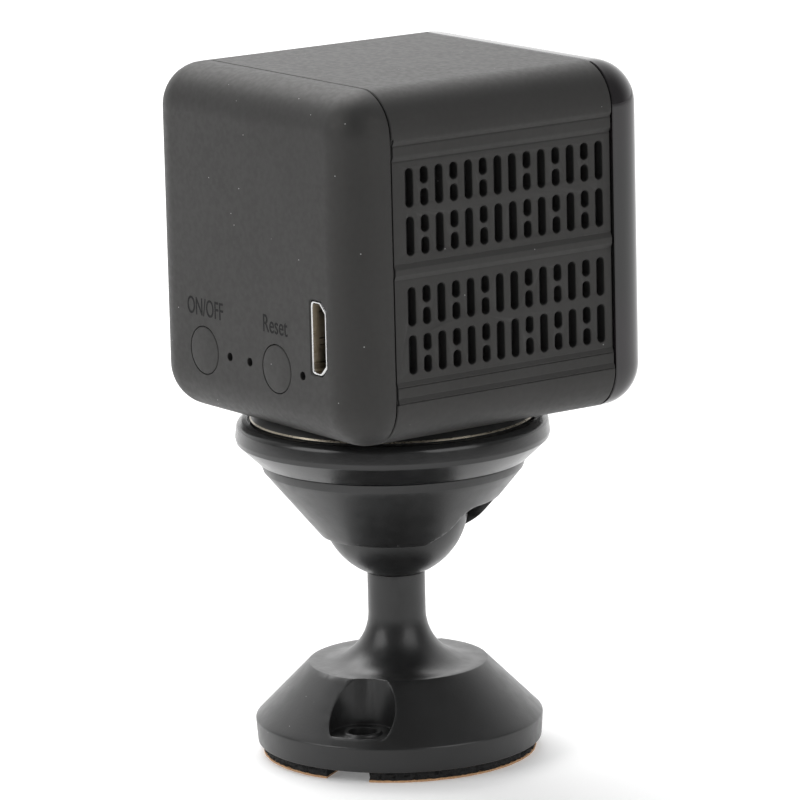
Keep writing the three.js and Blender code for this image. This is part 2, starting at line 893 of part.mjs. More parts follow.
function rearBoard() {
  const holes = boardScrews.map((place) =>
    discY(screwRadius + fitGap, rearBoardFront - 1, rearBoardBack + 1, place, 0, 8),
  );
  return cut(box(rearBoardX, [rearBoardFront, rearBoardBack], boardZ), ...holes);
}

function innerFrame() {
  const size = 2 * (meshX - meshThick - fitGap);
  const tall = 2 * innerHalfH - 0.5;
  const outline = shapeOf(roundedPoints(size, tall, 2.5));
  const gap = roundedPoints(size - 2 * frameBand, tall - 2 * frameBand, 1.5);
  outline.holes.push(shapeOf(gap.reverse()));
  const holes = boardScrews.map((place) =>
    discY(screwRadius + fitGap, frameBack - 2.2, frameBack + 1, place, 0, 8),
  );
  const usbRoom = slabY(usbOutline(0.4), halfL - usbDepth - 1, halfL);
  return cut(slabY(outline, frameBack - frameThick, frameBack), usbRoom, ...holes);
}

function boardScrew(place) {
  const top = rearBoardBack + 0.62;
  const foot = frameBack - 2;
  const screw = turned([
    [0, foot],
    [screwRadius, foot],
    [screwRadius, rearBoardBack + 0.02],
    [boardScrewHead, rearBoardBack + 0.02],
    [boardScrewHead, top],
    [0, top],
  ], 8);
  return onY(screw, place);
}

function tactSwitch([x, z]) {
  const side = 1.7;
  const body = box(
    [x - side, x + side],
    [rearBoardBack + restGap, rearBoardBack + 1],
    [z - side, z + side],
  );
  return body.add(discY(0.8, rearBoardBack + 0.9, plungerTop, [x, z], 0, 8));
}

function usbShell() {
  const back = halfL - usbDepth;
  const pocket = slabY(usbOutline(-usbWall), back + 0.5, halfL);
  return cut(slabY(usbOutline(0), back, halfL - 0.1), pocket);
}

function usbTongue() {
  const [x, z] = usbPlace;
  const back = halfL - usbDepth + 0.52;
  return box([x - 0.35, x + 0.25], [back, halfL - 0.9], [z - 2.7, z + 2.7]);
}

function lightPipe(place) {
  const foot = rearBoardBack + restGap;
  const top = halfL - 0.25;
  const profile = [
    [0, foot],
    [0.9, foot],
    [0.9, coverInner - 0.15],
    [pinHoleRadius - 0.06, coverInner - 0.15],
    [pinHoleRadius - 0.06, top],
    [0, top],
  ];
  return onY(turned(profile, 8), place);
}

function cardSocket() {
  const wide = cardWidth / 2 + 1.4;
  const body = box(
    [-wide, wide],
    [mainBoardBack + restGap, cardPlaceY + cardThick / 2 + 0.6],
    [-halfH + housingWall + 1.8, -halfH + cardLength + 1.5],
  );
  const room = box(
    [-cardWidth / 2 - 0.15, cardWidth / 2 + 0.15],
    [cardPlaceY - cardThick / 2 - 0.12, cardPlaceY + cardThick / 2 + 0.12],
    [-halfH, -halfH + cardLength + 0.4],
  );
  return cut(body, room);
}

function memoryCard() {
  return box(
    [-cardWidth / 2, cardWidth / 2],
    [cardPlaceY - cardThick / 2, cardPlaceY + cardThick / 2],
    [-halfH + 0.2, -halfH + 0.2 + cardLength],
  );
}

const steelTop = -innerHalfH + 1.2;
const mainBoardX = [boardMargin - innerHalfW, innerHalfW - boardMargin];
const mainBoardZ = boardZ.map((z) => z + 0.8);
const frameFront = frameBack - frameThick;
const cellX = [cellMargin - innerHalfW, innerHalfW - cellMargin];
const cellZ = [cellMargin - innerHalfH, innerHalfH - cellMargin + 1];
const cellY = [mainBoardBack + cellSpace[0], frameFront - cellSpace[1]];
const speakerRadius = 6.5;

camera.add(
  piece(
    "main_board",
    box(mainBoardX, [mainBoardFront, mainBoardBack], mainBoardZ),
    look.board(),
  ),
  piece(
    "shield_can",
    box([-7, 7], [mainBoardBack + restGap, mainBoardBack + 2], [2, boardHalf - 2]),
    look.steel(),
  ),
  piece("card_socket", cardSocket(), look.steel()),
  piece("memory_card", memoryCard(), look.chip()),
  piece("battery", box(cellX, cellY, cellZ), look.cell()),
  piece(
    "speaker",
    discY(speakerRadius, cellY[1] + 0.5, cellY[1] + 3.2, [4, 4], 0, 20),
    look.chip(),
  ),
  piece(
    "antenna_board",
    box(cellX, [mainBoardBack + 3.5, mainBoardBack + 11.5], [innerHalfH - 1.4, innerHalfH - 0.6]),
    look.board(),
  ),
  piece(
    "steel_plate",
    box([-12, 12], [cardPlaceY + 1.6, frameFront - 0.3], [-innerHalfH + 0.05, steelTop]),
    look.steel(),
  ),
  piece("inner_frame", innerFrame(), look.nylon()),
  piece("rear_board", rearBoard(), look.board()),
  piece("power_switch", tactSwitch(powerPlace), look.chip()),
  piece("reset_switch", tactSwitch(resetPlace), look.chip()),
  piece(
    "microphone",
    discY(1.4, rearBoardBack + restGap, rearBoardBack + 1.5, microphonePlace, 0, 12),
    look.cell(),
  ),
  piece("usb_shell", usbShell(), look.steel()),
  piece("usb_tongue", usbTongue(), look.chip()),
);
lightPlaces.forEach((place, i) => {
  camera.add(piece(`light_pipe_${i + 1}`, lightPipe(place), look.lamp()));
});
boardScrews.forEach((place, i) => {
  camera.add(piece(`board_screw_${i + 1}`, boardScrew(place), look.steel()));
});
const meshReach = (slotPitch * columnKinds.length) / 2;
const meshY = [grilleShift - meshReach, grilleShift + meshReach];
const meshHalf = rowHeights[0] + longSlot / 2 + 0.8;
for (const [name, side] of [["dust_mesh_left", -1], ["dust_mesh_right", 1]]) {
  const x = side > 0 ? [meshX - meshThick, meshX] : [-meshX, meshThick - meshX];
  camera.add(piece(name, box(x, meshY, [-meshHalf, meshHalf]), look.mesh()));
}

// ---------------------------------------------------------------- buttons

// A cap flush with the rear face, a flange behind the wall and a stub over the switch.
function button(place) {
  const flangeTop = coverInner - 0.1;
  const profile = [
    [0, plungerTop + buttonTravel + 0.1],
    [1, plungerTop + buttonTravel + 0.1],
    [1, flangeTop - 0.5],
    [buttonRadius + buttonFlange, flangeTop - 0.5],
    [buttonRadius + buttonFlange, flangeTop],
    [buttonRadius, flangeTop],
    [buttonRadius, halfL - 0.1],
    [buttonRadius - 0.15, halfL],
    [0, halfL],
  ];
  return onY(turned(profile, 20), place);
}

camera.add(
  piece("power_button", button(powerPlace), look.matteBlack()),
  piece("reset_button", button(resetPlace), look.matteBlack()),
);

const part = new THREE.Group();
part.add(stand, ballGroup, head, magnetPlate, camera);

export default part;
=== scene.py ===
# %% [markdown]
# # A cube camera on a magnetic ball-joint stand
# The mechanical model is loaded first and stays fixed: it gives every place and every moving body.
# This script then makes the surfaces that a person would see and touch, in metres, in the same frame.

# %% Load the frame
import json
from math import asin, cos, degrees, hypot, pi, radians, sin, sqrt

import bmesh
import bpy
from mathutils import Matrix, Vector, noise


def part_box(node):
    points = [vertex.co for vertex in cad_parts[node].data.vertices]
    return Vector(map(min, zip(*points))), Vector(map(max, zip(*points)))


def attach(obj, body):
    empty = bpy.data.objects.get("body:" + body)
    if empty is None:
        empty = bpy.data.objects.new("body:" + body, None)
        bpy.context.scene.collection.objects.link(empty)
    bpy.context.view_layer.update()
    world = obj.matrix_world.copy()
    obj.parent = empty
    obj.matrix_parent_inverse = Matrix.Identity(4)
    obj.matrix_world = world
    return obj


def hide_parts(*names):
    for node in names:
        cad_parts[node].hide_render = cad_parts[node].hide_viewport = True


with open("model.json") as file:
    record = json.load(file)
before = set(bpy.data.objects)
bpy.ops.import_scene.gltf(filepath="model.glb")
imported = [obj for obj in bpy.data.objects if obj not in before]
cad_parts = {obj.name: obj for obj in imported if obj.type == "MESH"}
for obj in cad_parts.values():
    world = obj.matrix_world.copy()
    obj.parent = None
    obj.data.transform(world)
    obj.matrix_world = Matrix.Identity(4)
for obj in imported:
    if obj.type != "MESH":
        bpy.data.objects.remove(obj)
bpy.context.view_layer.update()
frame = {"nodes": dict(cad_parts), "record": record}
MM = 0.001
scene = bpy.context.scene

# %% [markdown]
# ## Places
# The camera is modelled about its own middle and the stand about its axis, both in millimetres, because
# that is how a drawing gives them. Only the last step of each piece puts it into the frame.

# %% Places from the frame
X, Y, Z = 0, 1, 2


def lowest(node, axis):
    """Where a node of the frame starts along an axis, in millimetres."""
    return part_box(node)[0][axis] / MM


def highest(node, axis):
    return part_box(node)[1][axis] / MM


def extent(node, axis):
    low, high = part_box(node)
    return (high[axis] - low[axis]) / MM


CUBE = (Vector(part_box("housing")[0]) + Vector(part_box("housing")[1])) / 2 / MM
UNDERSIDE = lowest("housing", Z)
WIDTH = extent("housing", X)
HEIGHT = extent("housing", Z)
REAR = highest("rear_cover", Y) - CUBE.y  # rear face from the cube's middle
FRONT = lowest("front_cover", Y) - CUBE.y
BALL_R = 7.88
TOP_FLAT = BALL_R - 2.1  # the ball is cut flat at this height above its centre
BALL = Vector((0, 0, highest("ball", Z) - TOP_FLAT))
print("cube", tuple(round(v, 2) for v in CUBE), "ball centre", round(BALL.z, 2))

# %% [markdown]
# ## Camera and light
# A long lens well away from the object keeps the cube's edges nearly parallel. The floor is pale and so
# wide that its far edge stays out of sight, and the light is broad and soft: black plastic shows its
# shape only through what it reflects.

# %% The viewing camera
VIEW_AZIMUTH = 234.38
VIEW_ELEVATION = 11.91
VIEW_ROLL = -1.39
VIEW_DISTANCE = 599.8
FOCAL = 255.3
SENSOR = 36.0
AIM_ACROSS = -0.065  # where the lens points, from the cube's middle
AIM_UP = -17.67


def viewing_camera():
    a, e, roll = radians(VIEW_AZIMUTH), radians(VIEW_ELEVATION), radians(VIEW_ROLL)
    back = Vector((sin(a) * cos(e), -cos(a) * cos(e), sin(e)))
    right = Vector((cos(a), sin(a), 0))
    up = back.cross(right)
    across = right * cos(roll) + up * sin(roll)
    upward = up * cos(roll) - right * sin(roll)
    target = CUBE + across * AIM_ACROSS + upward * AIM_UP
    data = bpy.data.cameras.new("view")
    data.lens = FOCAL
    data.sensor_width = SENSOR
    data.clip_start = 0.01
    data.clip_end = 50
    camera = bpy.data.objects.new("view", data)
    turn = Matrix((across, upward, back)).transposed()
    camera.matrix_world = Matrix.Translation((target + back * VIEW_DISTANCE) * MM) @ turn.to_4x4()
    scene.collection.objects.link(camera)
    scene.camera = camera


viewing_camera()

# %% Lamps
VIEWER = Vector((sin(radians(VIEW_AZIMUTH)), -cos(radians(VIEW_AZIMUTH)), 0))  # towards the viewer
LAMPS = [
    # name, degrees round from the viewer, height, distance, size, watts: all aimed at the object
    ("overhead", 155, 1.25, 0.75, 1.2, 16.5), ("softbox_left", 66, 0.62, 1.05, 0.75, 4.9),
    ("softbox_right", -46, 0.62, 1.05, 0.80, 4.2),
]


def lamp(name, turn, height, distance, size, watts):
    data = bpy.data.lights.new(name, "AREA")
    data.shape = "SQUARE"
    data.size = size
    data.energy = watts
    thing = bpy.data.objects.new(name, data)
    towards = Matrix.Rotation(radians(-turn), 3, "Z") @ VIEWER
    thing.location = towards * distance + Vector((0, 0, height))
    aim = Vector((0, 0, 0.04)) - thing.location
    thing.rotation_euler = aim.to_track_quat("-Z", "Y").to_euler()
    scene.collection.objects.link(thing)


for each in LAMPS:
    lamp(*each)

# %% Adding a node
def added(tree, kind, inputs, output=0, **settings):
    """Adds a node, sets or links its inputs and returns one of its outputs."""
    node = tree.nodes.new(kind)
    for name, value in settings.items():
        setattr(node, name, value)
    for name, value in inputs.items():
        if isinstance(value, bpy.types.NodeSocket):
            tree.links.new(value, node.inputs[name])
        else:
            node.inputs[name].default_value = value
    return node.outputs[output]


# %% Studio walls: bright beyond the object, dim on the near side
SKY_FAR = 1.45
SKY_NEAR = 0.22
FADE = (-0.95, 0.1)  # how far towards the viewer the walls start and stop to dim
world = bpy.data.worlds.new("studio")
world.use_nodes = True
sky = world.node_tree
direction = added(sky, "ShaderNodeTexCoord", {}, "Generated")
facing = added(sky, "ShaderNodeVectorMath", {0: direction, 1: VIEWER}, "Value", operation="DOT_PRODUCT")
fade = {"Value": facing, "From Min": FADE[0], "From Max": FADE[1], "To Min": SKY_FAR, "To Max": SKY_NEAR}
strength = added(sky, "ShaderNodeMapRange", fade, "Result", interpolation_type="SMOOTHSTEP")
sky.links.new(strength, sky.nodes["Background"].inputs["Strength"])
sky.nodes["Background"].inputs["Color"].default_value = (1, 1, 1, 1)
scene.world = world
scene.view_settings.view_transform = "Standard"

# %% Floor
floor_mesh = bpy.data.meshes.new("floor")
FLOOR = 40.0
corners = [(-FLOOR, -FLOOR, 0), (FLOOR, -FLOOR, 0), (FLOOR, FLOOR, 0), (-FLOOR, FLOOR, 0)]
floor_mesh.from_pydata([(x, y, -0.00005) for x, y, _ in corners], [], [(0, 1, 2, 3)])
floor = bpy.data.objects.new("floor", floor_mesh)
scene.collection.objects.link(floor)
paper = bpy.data.materials.new("floor_paper")
paper.use_nodes = True
sheet = paper.node_tree.nodes["Principled BSDF"].inputs
sheet["Base Color"].default_value = (0.92, 0.92, 0.92, 1)
sheet["Roughness"].default_value = 0.9
sheet["Emission Color"].default_value = (1, 1, 1, 1)
sheet["Emission Strength"].default_value = 0.17  # a translucent sheet, lit from below too
floor_mesh.materials.append(paper)

# %% [markdown]
# ## Finishes
# Nearly everything here is black, so the finishes differ in gloss and in grain, not in colour. Each one
# is a Principled shader with noise in its colour, its roughness and its bump. The noise reads Object
# coordinates in metres, so a scale of 1000 / s makes marks about s millimetres across.

# %% A small kit for building shader trees
class Finish:
    """One material under construction: short calls add nodes and feed its shader's inputs."""

    def __init__(self, name, roughness=0.5, metallic=0.0, ior=1.5):
        self.material = bpy.data.materials.new(name)
        self.material.use_nodes = True
        self.tree = self.material.node_tree
        self.inputs = self.tree.nodes["Principled BSDF"].inputs
        self.constants({"Roughness": roughness, "Metallic": metallic, "IOR": ior})
        self.place = self.add("ShaderNodeTexCoord", {}, "Object")

    def constants(self, values):
        for name, value in values.items():
            self.inputs[name].default_value = value

    def add(self, kind, inputs, output=0, **settings):
        return added(self.tree, kind, inputs, output, **settings)

    def noise(self, size, detail=3.0, stretch=None):
        """Noise whose marks are about size millimetres across, 0 to 1."""
        place = self.place
        if stretch:
            place = self.add("ShaderNodeMapping", {"Vector": place, "Scale": stretch})
        values = {"Vector": place, "Scale": 1000.0 / size, "Detail": detail}
        return self.add("ShaderNodeTexNoise", values, "Fac")

    def cells(self, size):
        """Distance from the middle of a cell about size millimetres across."""
        return self.add("ShaderNodeTexVoronoi", {"Vector": self.place, "Scale": 1000.0 / size}, "Distance")

    def spread(self, value, low, high, start=0.35, end=0.65):
        """value from start to end becomes low to high."""
        limits = {"From Min": start, "From Max": end, "To Min": low, "To Max": high}
        return self.add("ShaderNodeMapRange", {"Value": value, **limits}, "Result")

    def colours(self, value, first, second, start=0.35, end=0.65):
        ramp = self.tree.nodes.new("ShaderNodeValToRGB")
        for element, position, colour in zip(ramp.color_ramp.elements, (start, end), (first, second)):
            element.position = position
            element.color = (*colour, 1)
        self.tree.links.new(value, ramp.inputs["Fac"])
        return ramp.outputs["Color"]

    def base(self, value, first, second, start=0.35, end=0.65):
        """The base colour runs from first to second."""
        self.tree.links.new(self.colours(value, first, second, start, end), self.inputs["Base Color"])

    def gloss(self, value, low, high):
        """The roughness runs from low to high."""
        self.tree.links.new(self.spread(value, low, high), self.inputs["Roughness"])

    def dust(self, size, speck, level):
        """Pale specks over the base colour; speck is where their edge starts and ends, in cells."""
        mask = self.spread(self.cells(size), 1.0, 0.0, *speck)
        under = self.inputs["Base Color"].links[0].from_socket
        parts = {"Factor": mask, "A": under, "B": (*grey(level), 1)}
        mixed = self.add("ShaderNodeMix", parts, "Result", data_type="RGBA")
        self.tree.links.new(mixed, self.inputs["Base Color"])

    def bump(self, height, depth):
        """Raises the surface by up to depth millimetres where height is 1."""
        values = {"Height": height, "Strength": 1.0, "Distance": depth * MM}
        self.tree.links.new(self.add("ShaderNodeBump", values, "Normal"), self.inputs["Normal"])


def grey(level, tint=(1.0, 1.0, 1.0)):
    return tuple(level * t for t in tint)


# %% [markdown]
# ### Black plastics
# The camera's body is spark-eroded matte black: a fine even grain that spreads the light. The stand is
# moulded in the same black from a smoother tool, so it keeps a soft shine, with the faint unevenness of
# a cheap moulding. Both catch dust, which is a few tiny pale specks. The front cover is polished.

# %% Matte, semi-gloss and polished black
def matte_black():
    f = Finish("matte_black")
    f.constants({"Specular IOR Level": 0.37, "Specular Tint": (1.0, 0.97, 0.93, 1)})
    f.base(f.noise(9.0), grey(0.017), grey(0.020))
    f.dust(2.3, (0.016, 0.030), 0.42)
    f.gloss(f.noise(0.6), 0.48, 0.56)
    f.bump(f.noise(0.12, 2.0), 0.004)
    return f.material


def stand_black(name, smoothest, roughest):
    f = Finish(name)
    f.base(f.noise(6.0), grey(0.010), grey(0.013, (1, 1.02, 1.04)))
    f.dust(2.2, (0.014, 0.028), 0.35)
    f.gloss(f.noise(1.4, 5.0), smoothest, roughest)
    f.bump(f.noise(0.30, 1.0), 0.005)
    return f.material


def polished_black():
    f = Finish("polished_black")
    f.base(f.noise(12.0), grey(0.010), (0.014, 0.011, 0.013))
    f.gloss(f.noise(2.5, 4.0), 0.05, 0.11)
    f.bump(f.noise(5.0, 1.0), 0.004)
    return f.material


def mark_ink():
    f = Finish("mark_ink")
    f.constants({"Specular IOR Level": 0.25})
    f.base(f.noise(0.3), grey(0.009), grey(0.014))
    f.gloss(f.noise(0.2), 0.75, 0.9)
    return f.material


# %% [markdown]
# ### Foam, paper and metals
# The pad is black closed-cell foam whose cut edge shows its cells. The liner is waxed kraft paper with
# its fibres. The socket's shell is bright tinplate with a drawn grain, and the magnet's plate is black
# with a bright warm metal band on its edge, a painted highlight.

# %% Foam, paper and metals
def foam():
    f = Finish("foam", 0.9)
    f.base(f.cells(0.22), grey(0.004), grey(0.016), 0.1, 0.7)
    f.bump(f.cells(0.22), 0.05)
    return f.material


def kraft():
    f = Finish("kraft")
    fibres = f.noise(0.5, 6.0, (1.0, 4.0, 4.0))
    f.base(fibres, (0.44, 0.24, 0.12), (0.64, 0.39, 0.21))
    f.gloss(f.noise(0.8), 0.55, 0.75)
    f.bump(fibres, 0.02)
    return f.material


def drawn_metal(name, level, roughness, size=0.15, stretch=(1.0, 0.12, 1.0), tint=(1.0, 1.0, 1.0)):
    f = Finish(name, metallic=1.0)
    grain = f.noise(size, 4.0, stretch)
    f.base(grain, grey(level * 0.92, tint), grey(level * 1.05, tint))
    f.gloss(grain, roughness * 0.8, roughness * 1.25)
    f.bump(grain, 0.003)
    return f.material


def plate_black():
    f = Finish("plate_black")
    f.base(f.noise(4.0), grey(0.012), grey(0.016))
    f.gloss(f.noise(1.0), 0.30, 0.36)
    f.bump(f.noise(0.3), 0.002)
    return f.material


# %% [markdown]
# ### Inner pieces
# The boards, chips, cell and lamps sit behind the covers, and a little of them shows through the window
# and the slots, so they get finishes of their own too.

# %% Inner finishes
def moulded(name, first, second, roughness, size=1.5):
    """A plain moulding or part body: two close tones, uneven gloss and a fine skin."""
    f = Finish(name)
    f.base(f.noise(size), first, second)
    f.gloss(f.noise(size / 2), roughness * 0.85, roughness * 1.15)
    f.bump(f.noise(0.2), 0.004)
    return f.material


def clear(name, tint, roughness, transmission):
    f = Finish(name, ior=1.49)
    f.constants({"Transmission Weight": transmission})
    f.base(f.noise(8.0), tint, tuple(t * 1.06 for t in tint))
    f.gloss(f.noise(3.0), roughness * 0.7, roughness * 1.3)
    return f.material


def coated_glass():
    f = Finish("coated_glass", 0.02, ior=1.6)
    f.constants({"Coat Weight": 1.0, "Coat Tint": (0.55, 0.45, 1.0, 1)})
    f.base(f.noise(2.0), (0.010, 0.006, 0.030), (0.016, 0.008, 0.045))
    return f.material


finishes = {
    "body_black": matte_black(),
    "stand_black": stand_black("stand_black", 0.30, 0.37),
    "gloss_black": polished_black(),
    "foam": foam(),
    "kraft": kraft(),
    "steel": drawn_metal("bright_tinplate", 0.60, 0.26),
    "magnet": drawn_metal("nickel", 0.40, 0.35),
    "cell": drawn_metal("foil", 0.60, 0.38, 1.2, (1.0, 1.0, 1.0)),
    "plate": plate_black(),
    "nylon": moulded("nylon", grey(0.10), grey(0.13), 0.5),
    "board": moulded("solder_mask", (0.012, 0.07, 0.03), (0.02, 0.10, 0.045), 0.35),
    "chip": moulded("moulding_compound", grey(0.014), grey(0.022), 0.45),
    "lamp": clear("clear_moulding", (0.85, 0.87, 0.90), 0.08, 0.6),
    "mesh": moulded("dust_mesh", grey(0.010), grey(0.018), 0.85, 0.4),
    "smoked_window": clear("smoked_window", (0.040, 0.034, 0.044), 0.03, 0.7),
    "lens_glass": coated_glass(),
}
ink = mark_ink()
ring_black = stand_black("ring_black", 0.19, 0.25)
# a bright warm metal band for the magnet plate's edge: a painted highlight
worn_edge = drawn_metal("worn_edge", 0.38, 0.3, tint=(1.0, 0.90, 0.72))
gold = drawn_metal("contact_gold", 0.6, 0.25)
# a darker, warm-tinted metal for the socket's inner walls: painted shade inside the recess
socket_inside = drawn_metal("socket_inside", 0.30, 0.32, 0.25, tint=(1.0, 0.88, 0.70))
print(len(finishes) + 5, "finishes")

# %% Every carried-over node gets its finish
slots = {part["node"]: part["material_slot"] for part in frame["record"]["subparts"]}
for name, node in frame["nodes"].items():
    node.data.materials.clear()
    node.data.materials.append(finishes[slots[name]])

# %% [markdown]
# ## Mesh helpers
# Round pieces are turned from a closed profile, as on a lathe. A profile's corners each carry a small
# radius, since nothing moulded has a sharp edge, and that radius is what catches the light.

# %% Outlines with rounded corners
def softened(points, steps=5):
    """Rounds the corners of a closed outline. points are (x, y, radius); a radius of 0 stays sharp."""
    outline = []
    count = len(points)
    for i, (x, y, radius) in enumerate(points):
        here = Vector((x, y))
        if radius <= 0:
            outline.append(here)
            continue
        before = Vector(points[i - 1][:2]) - here
        after = Vector(points[(i + 1) % count][:2]) - here
        half = before.angle(after) / 2
        slope = max(abs(sin(half) / cos(half)), 1e-6)
        reach = min(radius / slope, before.length * 0.49, after.length * 0.49)
        start = here + before.normalized() * reach
        end = here + after.normalized() * reach
        for k in range(steps + 1):
            t = k / steps
            outline.append(start * (1 - t) ** 2 + here * 2 * t * (1 - t) + end * t ** 2)
    return [(p.x, p.y) for p in outline]


def arc(cx, cy, radius, start, end, steps):
    """Points of an arc, angles in degrees, as sharp outline points."""
    turns = [radians(start + (end - start) * k / steps) for k in range(steps + 1)]
    return [(cx + radius * cos(t), cy + radius * sin(t), 0) for t in turns]


# %% From a mesh under construction to a piece
def ringed(profile, step=0.6):
    """The same closed outline, with points added along its long straight runs.

    A cut through a long face would shade all of it; through a short one it stays local."""
    points = []
    for (r, z), (r2, z2) in zip(profile, profile[1:] + profile[:1]):
        count = max(1, round(hypot(r2 - r, z2 - z) / step))
        points += [(r + (r2 - r) * k / count, z + (z2 - z) * k / count) for k in range(count)]
    return points


def made(name, bm, material, place=(0, 0, 0), turn=None, sharp=32):
    """Closes, orients and names a mesh that was built in millimetres, and returns its object."""
    bmesh.ops.remove_doubles(bm, verts=bm.verts, dist=1e-4)
    if turn:
        bmesh.ops.transform(bm, matrix=turn, verts=bm.verts)
    bmesh.ops.translate(bm, vec=Vector(place), verts=bm.verts)
    bmesh.ops.scale(bm, vec=(MM, MM, MM), verts=bm.verts)
    bmesh.ops.recalc_face_normals(bm, faces=bm.faces)
    mesh = bpy.data.meshes.new(name)
    bm.to_mesh(mesh)
    bm.free()
    mesh.materials.append(material)
    smooth(mesh, sharp)
    thing = bpy.data.objects.new(name, mesh)
    scene.collection.objects.link(thing)
    return thing


def smooth(mesh, sharp=32):
    mesh.polygons.foreach_set("use_smooth", [True] * len(mesh.polygons))
    mesh.set_sharp_from_angle(angle=radians(sharp))


def turned(profile, sides=96):
    """A bmesh turned about Z from a closed (radius, height) outline."""
    bm = bmesh.new()
    rings = []
    for r, z in profile:
        if r < 1e-6:
            rings.append([bm.verts.new((0, 0, z))])
            continue
        turns = [2 * pi * k / sides for k in range(sides)]
        rings.append([bm.verts.new((r * cos(t), r * sin(t), z)) for t in turns])
    for i, ring in enumerate(rings):
        other = rings[(i + 1) % len(rings)]
        if len(ring) == 1 and len(other) == 1:
            continue
        for k in range(sides):
            n = (k + 1) % sides
            pairs = ((ring, k), (ring, n), (other, n), (other, k))
            unique = list(dict.fromkeys(loop[at % len(loop)] for loop, at in pairs))
            if len(unique) > 2:
                bm.faces.new(unique)
    return bm


def stacked(loops):
    """A bmesh through loops of equally many points, open loops closed by a face at both ends."""
    bm = bmesh.new()
    rings = [[bm.verts.new(p) for p in loop] for loop in loops]
    for lower, upper in zip(rings, rings[1:]):
        for k in range(len(lower)):
            n = (k + 1) % len(lower)
            bm.faces.new((lower[k], lower[n], upper[n], upper[k]))
    bm.faces.new(rings[0])
    bm.faces.new(rings[-1])
    return bm


# %% [markdown]
# Holes, pockets and slots are cut with the Boolean modifier in its exact mode, and the modifier is
# applied at once, so that what leaves the script is a plain mesh.

# %% Cutting
cut_mark = bpy.data.materials.new("cut_mark")  # marks the faces that a cutter left
TOWARDS_REAR = Matrix.Rotation(-pi / 2, 4, "X")  # Z becomes +Y
TOWARDS_FRONT = Matrix.Rotation(pi / 2, 4, "X")  # Z becomes -Y


def applied(thing):
    """Turns an object's modifiers into plain mesh."""
    bpy.context.view_layer.update()
    graph = bpy.context.evaluated_depsgraph_get()
    mesh = bpy.data.meshes.new_from_object(thing.evaluated_get(graph))
    thing.modifiers.clear()
    old = thing.data
    thing.data = mesh
    mesh.name = old.name
    return thing


def cut(thing, cutters, sharp=32, ease=0.0):
    """Cuts the cutters away. Where ease is given, the edges round the cuts get that small a radius."""
    for cutter in cutters:
        cutter.data.materials.clear()
        cutter.data.materials.append(cut_mark)
        modifier = thing.modifiers.new("cut", "BOOLEAN")
        modifier.operation = "DIFFERENCE"
        modifier.solver = "EXACT"
        modifier.material_mode = "TRANSFER"
        modifier.object = cutter
        applied(thing)
        bpy.data.objects.remove(cutter)
    bm = bmesh.new()
    bm.from_mesh(thing.data)
    if ease:
        bmesh.ops.remove_doubles(bm, verts=bm.verts, dist=ease * MM * 0.4)
        bmesh.ops.bevel(
            bm,
            geom=[e for e in bm.edges if is_cut_edge(e)],
            offset=ease * MM,
            segments=2,
            profile=0.5,
            affect="EDGES",
            clamp_overlap=False,
        )
    for face in bm.faces:
        face.material_index = 0
    bm.to_mesh(thing.data)
    bm.free()
    while len(thing.data.materials) > 1:
        thing.data.materials.pop()
    smooth(thing.data, sharp)
    return thing


def is_cut_edge(edge):
    """True between a cut face and an old one that meet at an angle."""
    if len(edge.link_faces) != 2:
        return False
    first, second = edge.link_faces
    return (first.material_index == 0) != (second.material_index == 0) and edge.calc_face_angle(0) > 0.35


def finished(thing, body, node, *more):
    """The piece replaces its CAD nodes and rides on their body."""
    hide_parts(node, *more)
    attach(thing, body)
    print(thing.name, len(thing.data.polygons), "faces")
    return thing


# %% [markdown]
# ## Covers of the camera
# Both covers are square caps with every outer edge rounded, hollow inside. Each is one stack of rounded
# squares: up the outside, over the rounded edge to the face, then back down the inside. The lip where a
# cover meets the housing has a small chamfer, and two chamfers face to face make the dark seam line.

# %% The rounded square and the cap
CORNER = 4.7
EDGE = 4.5
COVER_DEPTH = 5.23
COVER_WALL = 1.4
LIP = 0.10
FACE_BACK = 0.03  # the faces lie this much inside the buttons' tops


def rounded_square(half_w, half_h, radius, steps=12):
    points = []
    for sx, sy, start in ((1, 1, 0), (-1, 1, 90), (-1, -1, 180), (1, -1, 270)):
        cx, cy = sx * (half_w - radius), sy * (half_h - radius)
        for k in range(steps + 1):
            t = radians(start + 90 * k / steps)
            points.append((cx + radius * cos(t), cy + radius * sin(t)))
    return points


def cap_levels(depth, edge, steps):
    """(height, inset) pairs from the lip over the rounded edge to the face."""
    turns = [pi / 2 * k / steps for k in range(steps + 1)]
    return [(depth - edge + edge * sin(t), edge * (1 - cos(t))) for t in turns]


def square_loops(levels, extra=0.0, steps=12):
    """One rounded square for each (height, inset) pair, inset by extra more."""
    loops = []
    for height, inset in levels:
        inset += extra
        square = rounded_square(WIDTH / 2 - inset, HEIGHT / 2 - inset, CORNER - inset, steps)
        loops.append([(x, y, height) for x, y in square])
    return loops


def cap(name, material, towards_rear):
    inner_depth, inner_edge = COVER_DEPTH - COVER_WALL, EDGE - COVER_WALL
    outer = [(0, LIP), (LIP, 0)] + cap_levels(COVER_DEPTH - FACE_BACK, EDGE, 14)
    inner = cap_levels(inner_depth, inner_edge, 6)[::-1] + [(0, 0)]
    bm = bmesh.new()
    loops = square_loops(outer) + square_loops(inner, COVER_WALL)
    rings = [[bm.verts.new(p) for p in loop] for loop in loops]
    face = len(outer) - 1
    for i, ring in enumerate(rings):
        after = rings[(i + 1) % len(rings)]
        if i == face:  # the face and the room behind it are closed, not joined
            continue
        for k in range(len(ring)):
            m = (k + 1) % len(ring)
            bm.faces.new((ring[k], ring[m], after[m], after[k]))
    bm.faces.new(rings[face])
    bm.faces.new(rings[face + 1])
    turn = TOWARDS_REAR if towards_rear else TOWARDS_FRONT
    start = REAR - COVER_DEPTH if towards_rear else FRONT + COVER_DEPTH
    return made(name, bm, material, CUBE + Vector((0, start, 0)), turn)


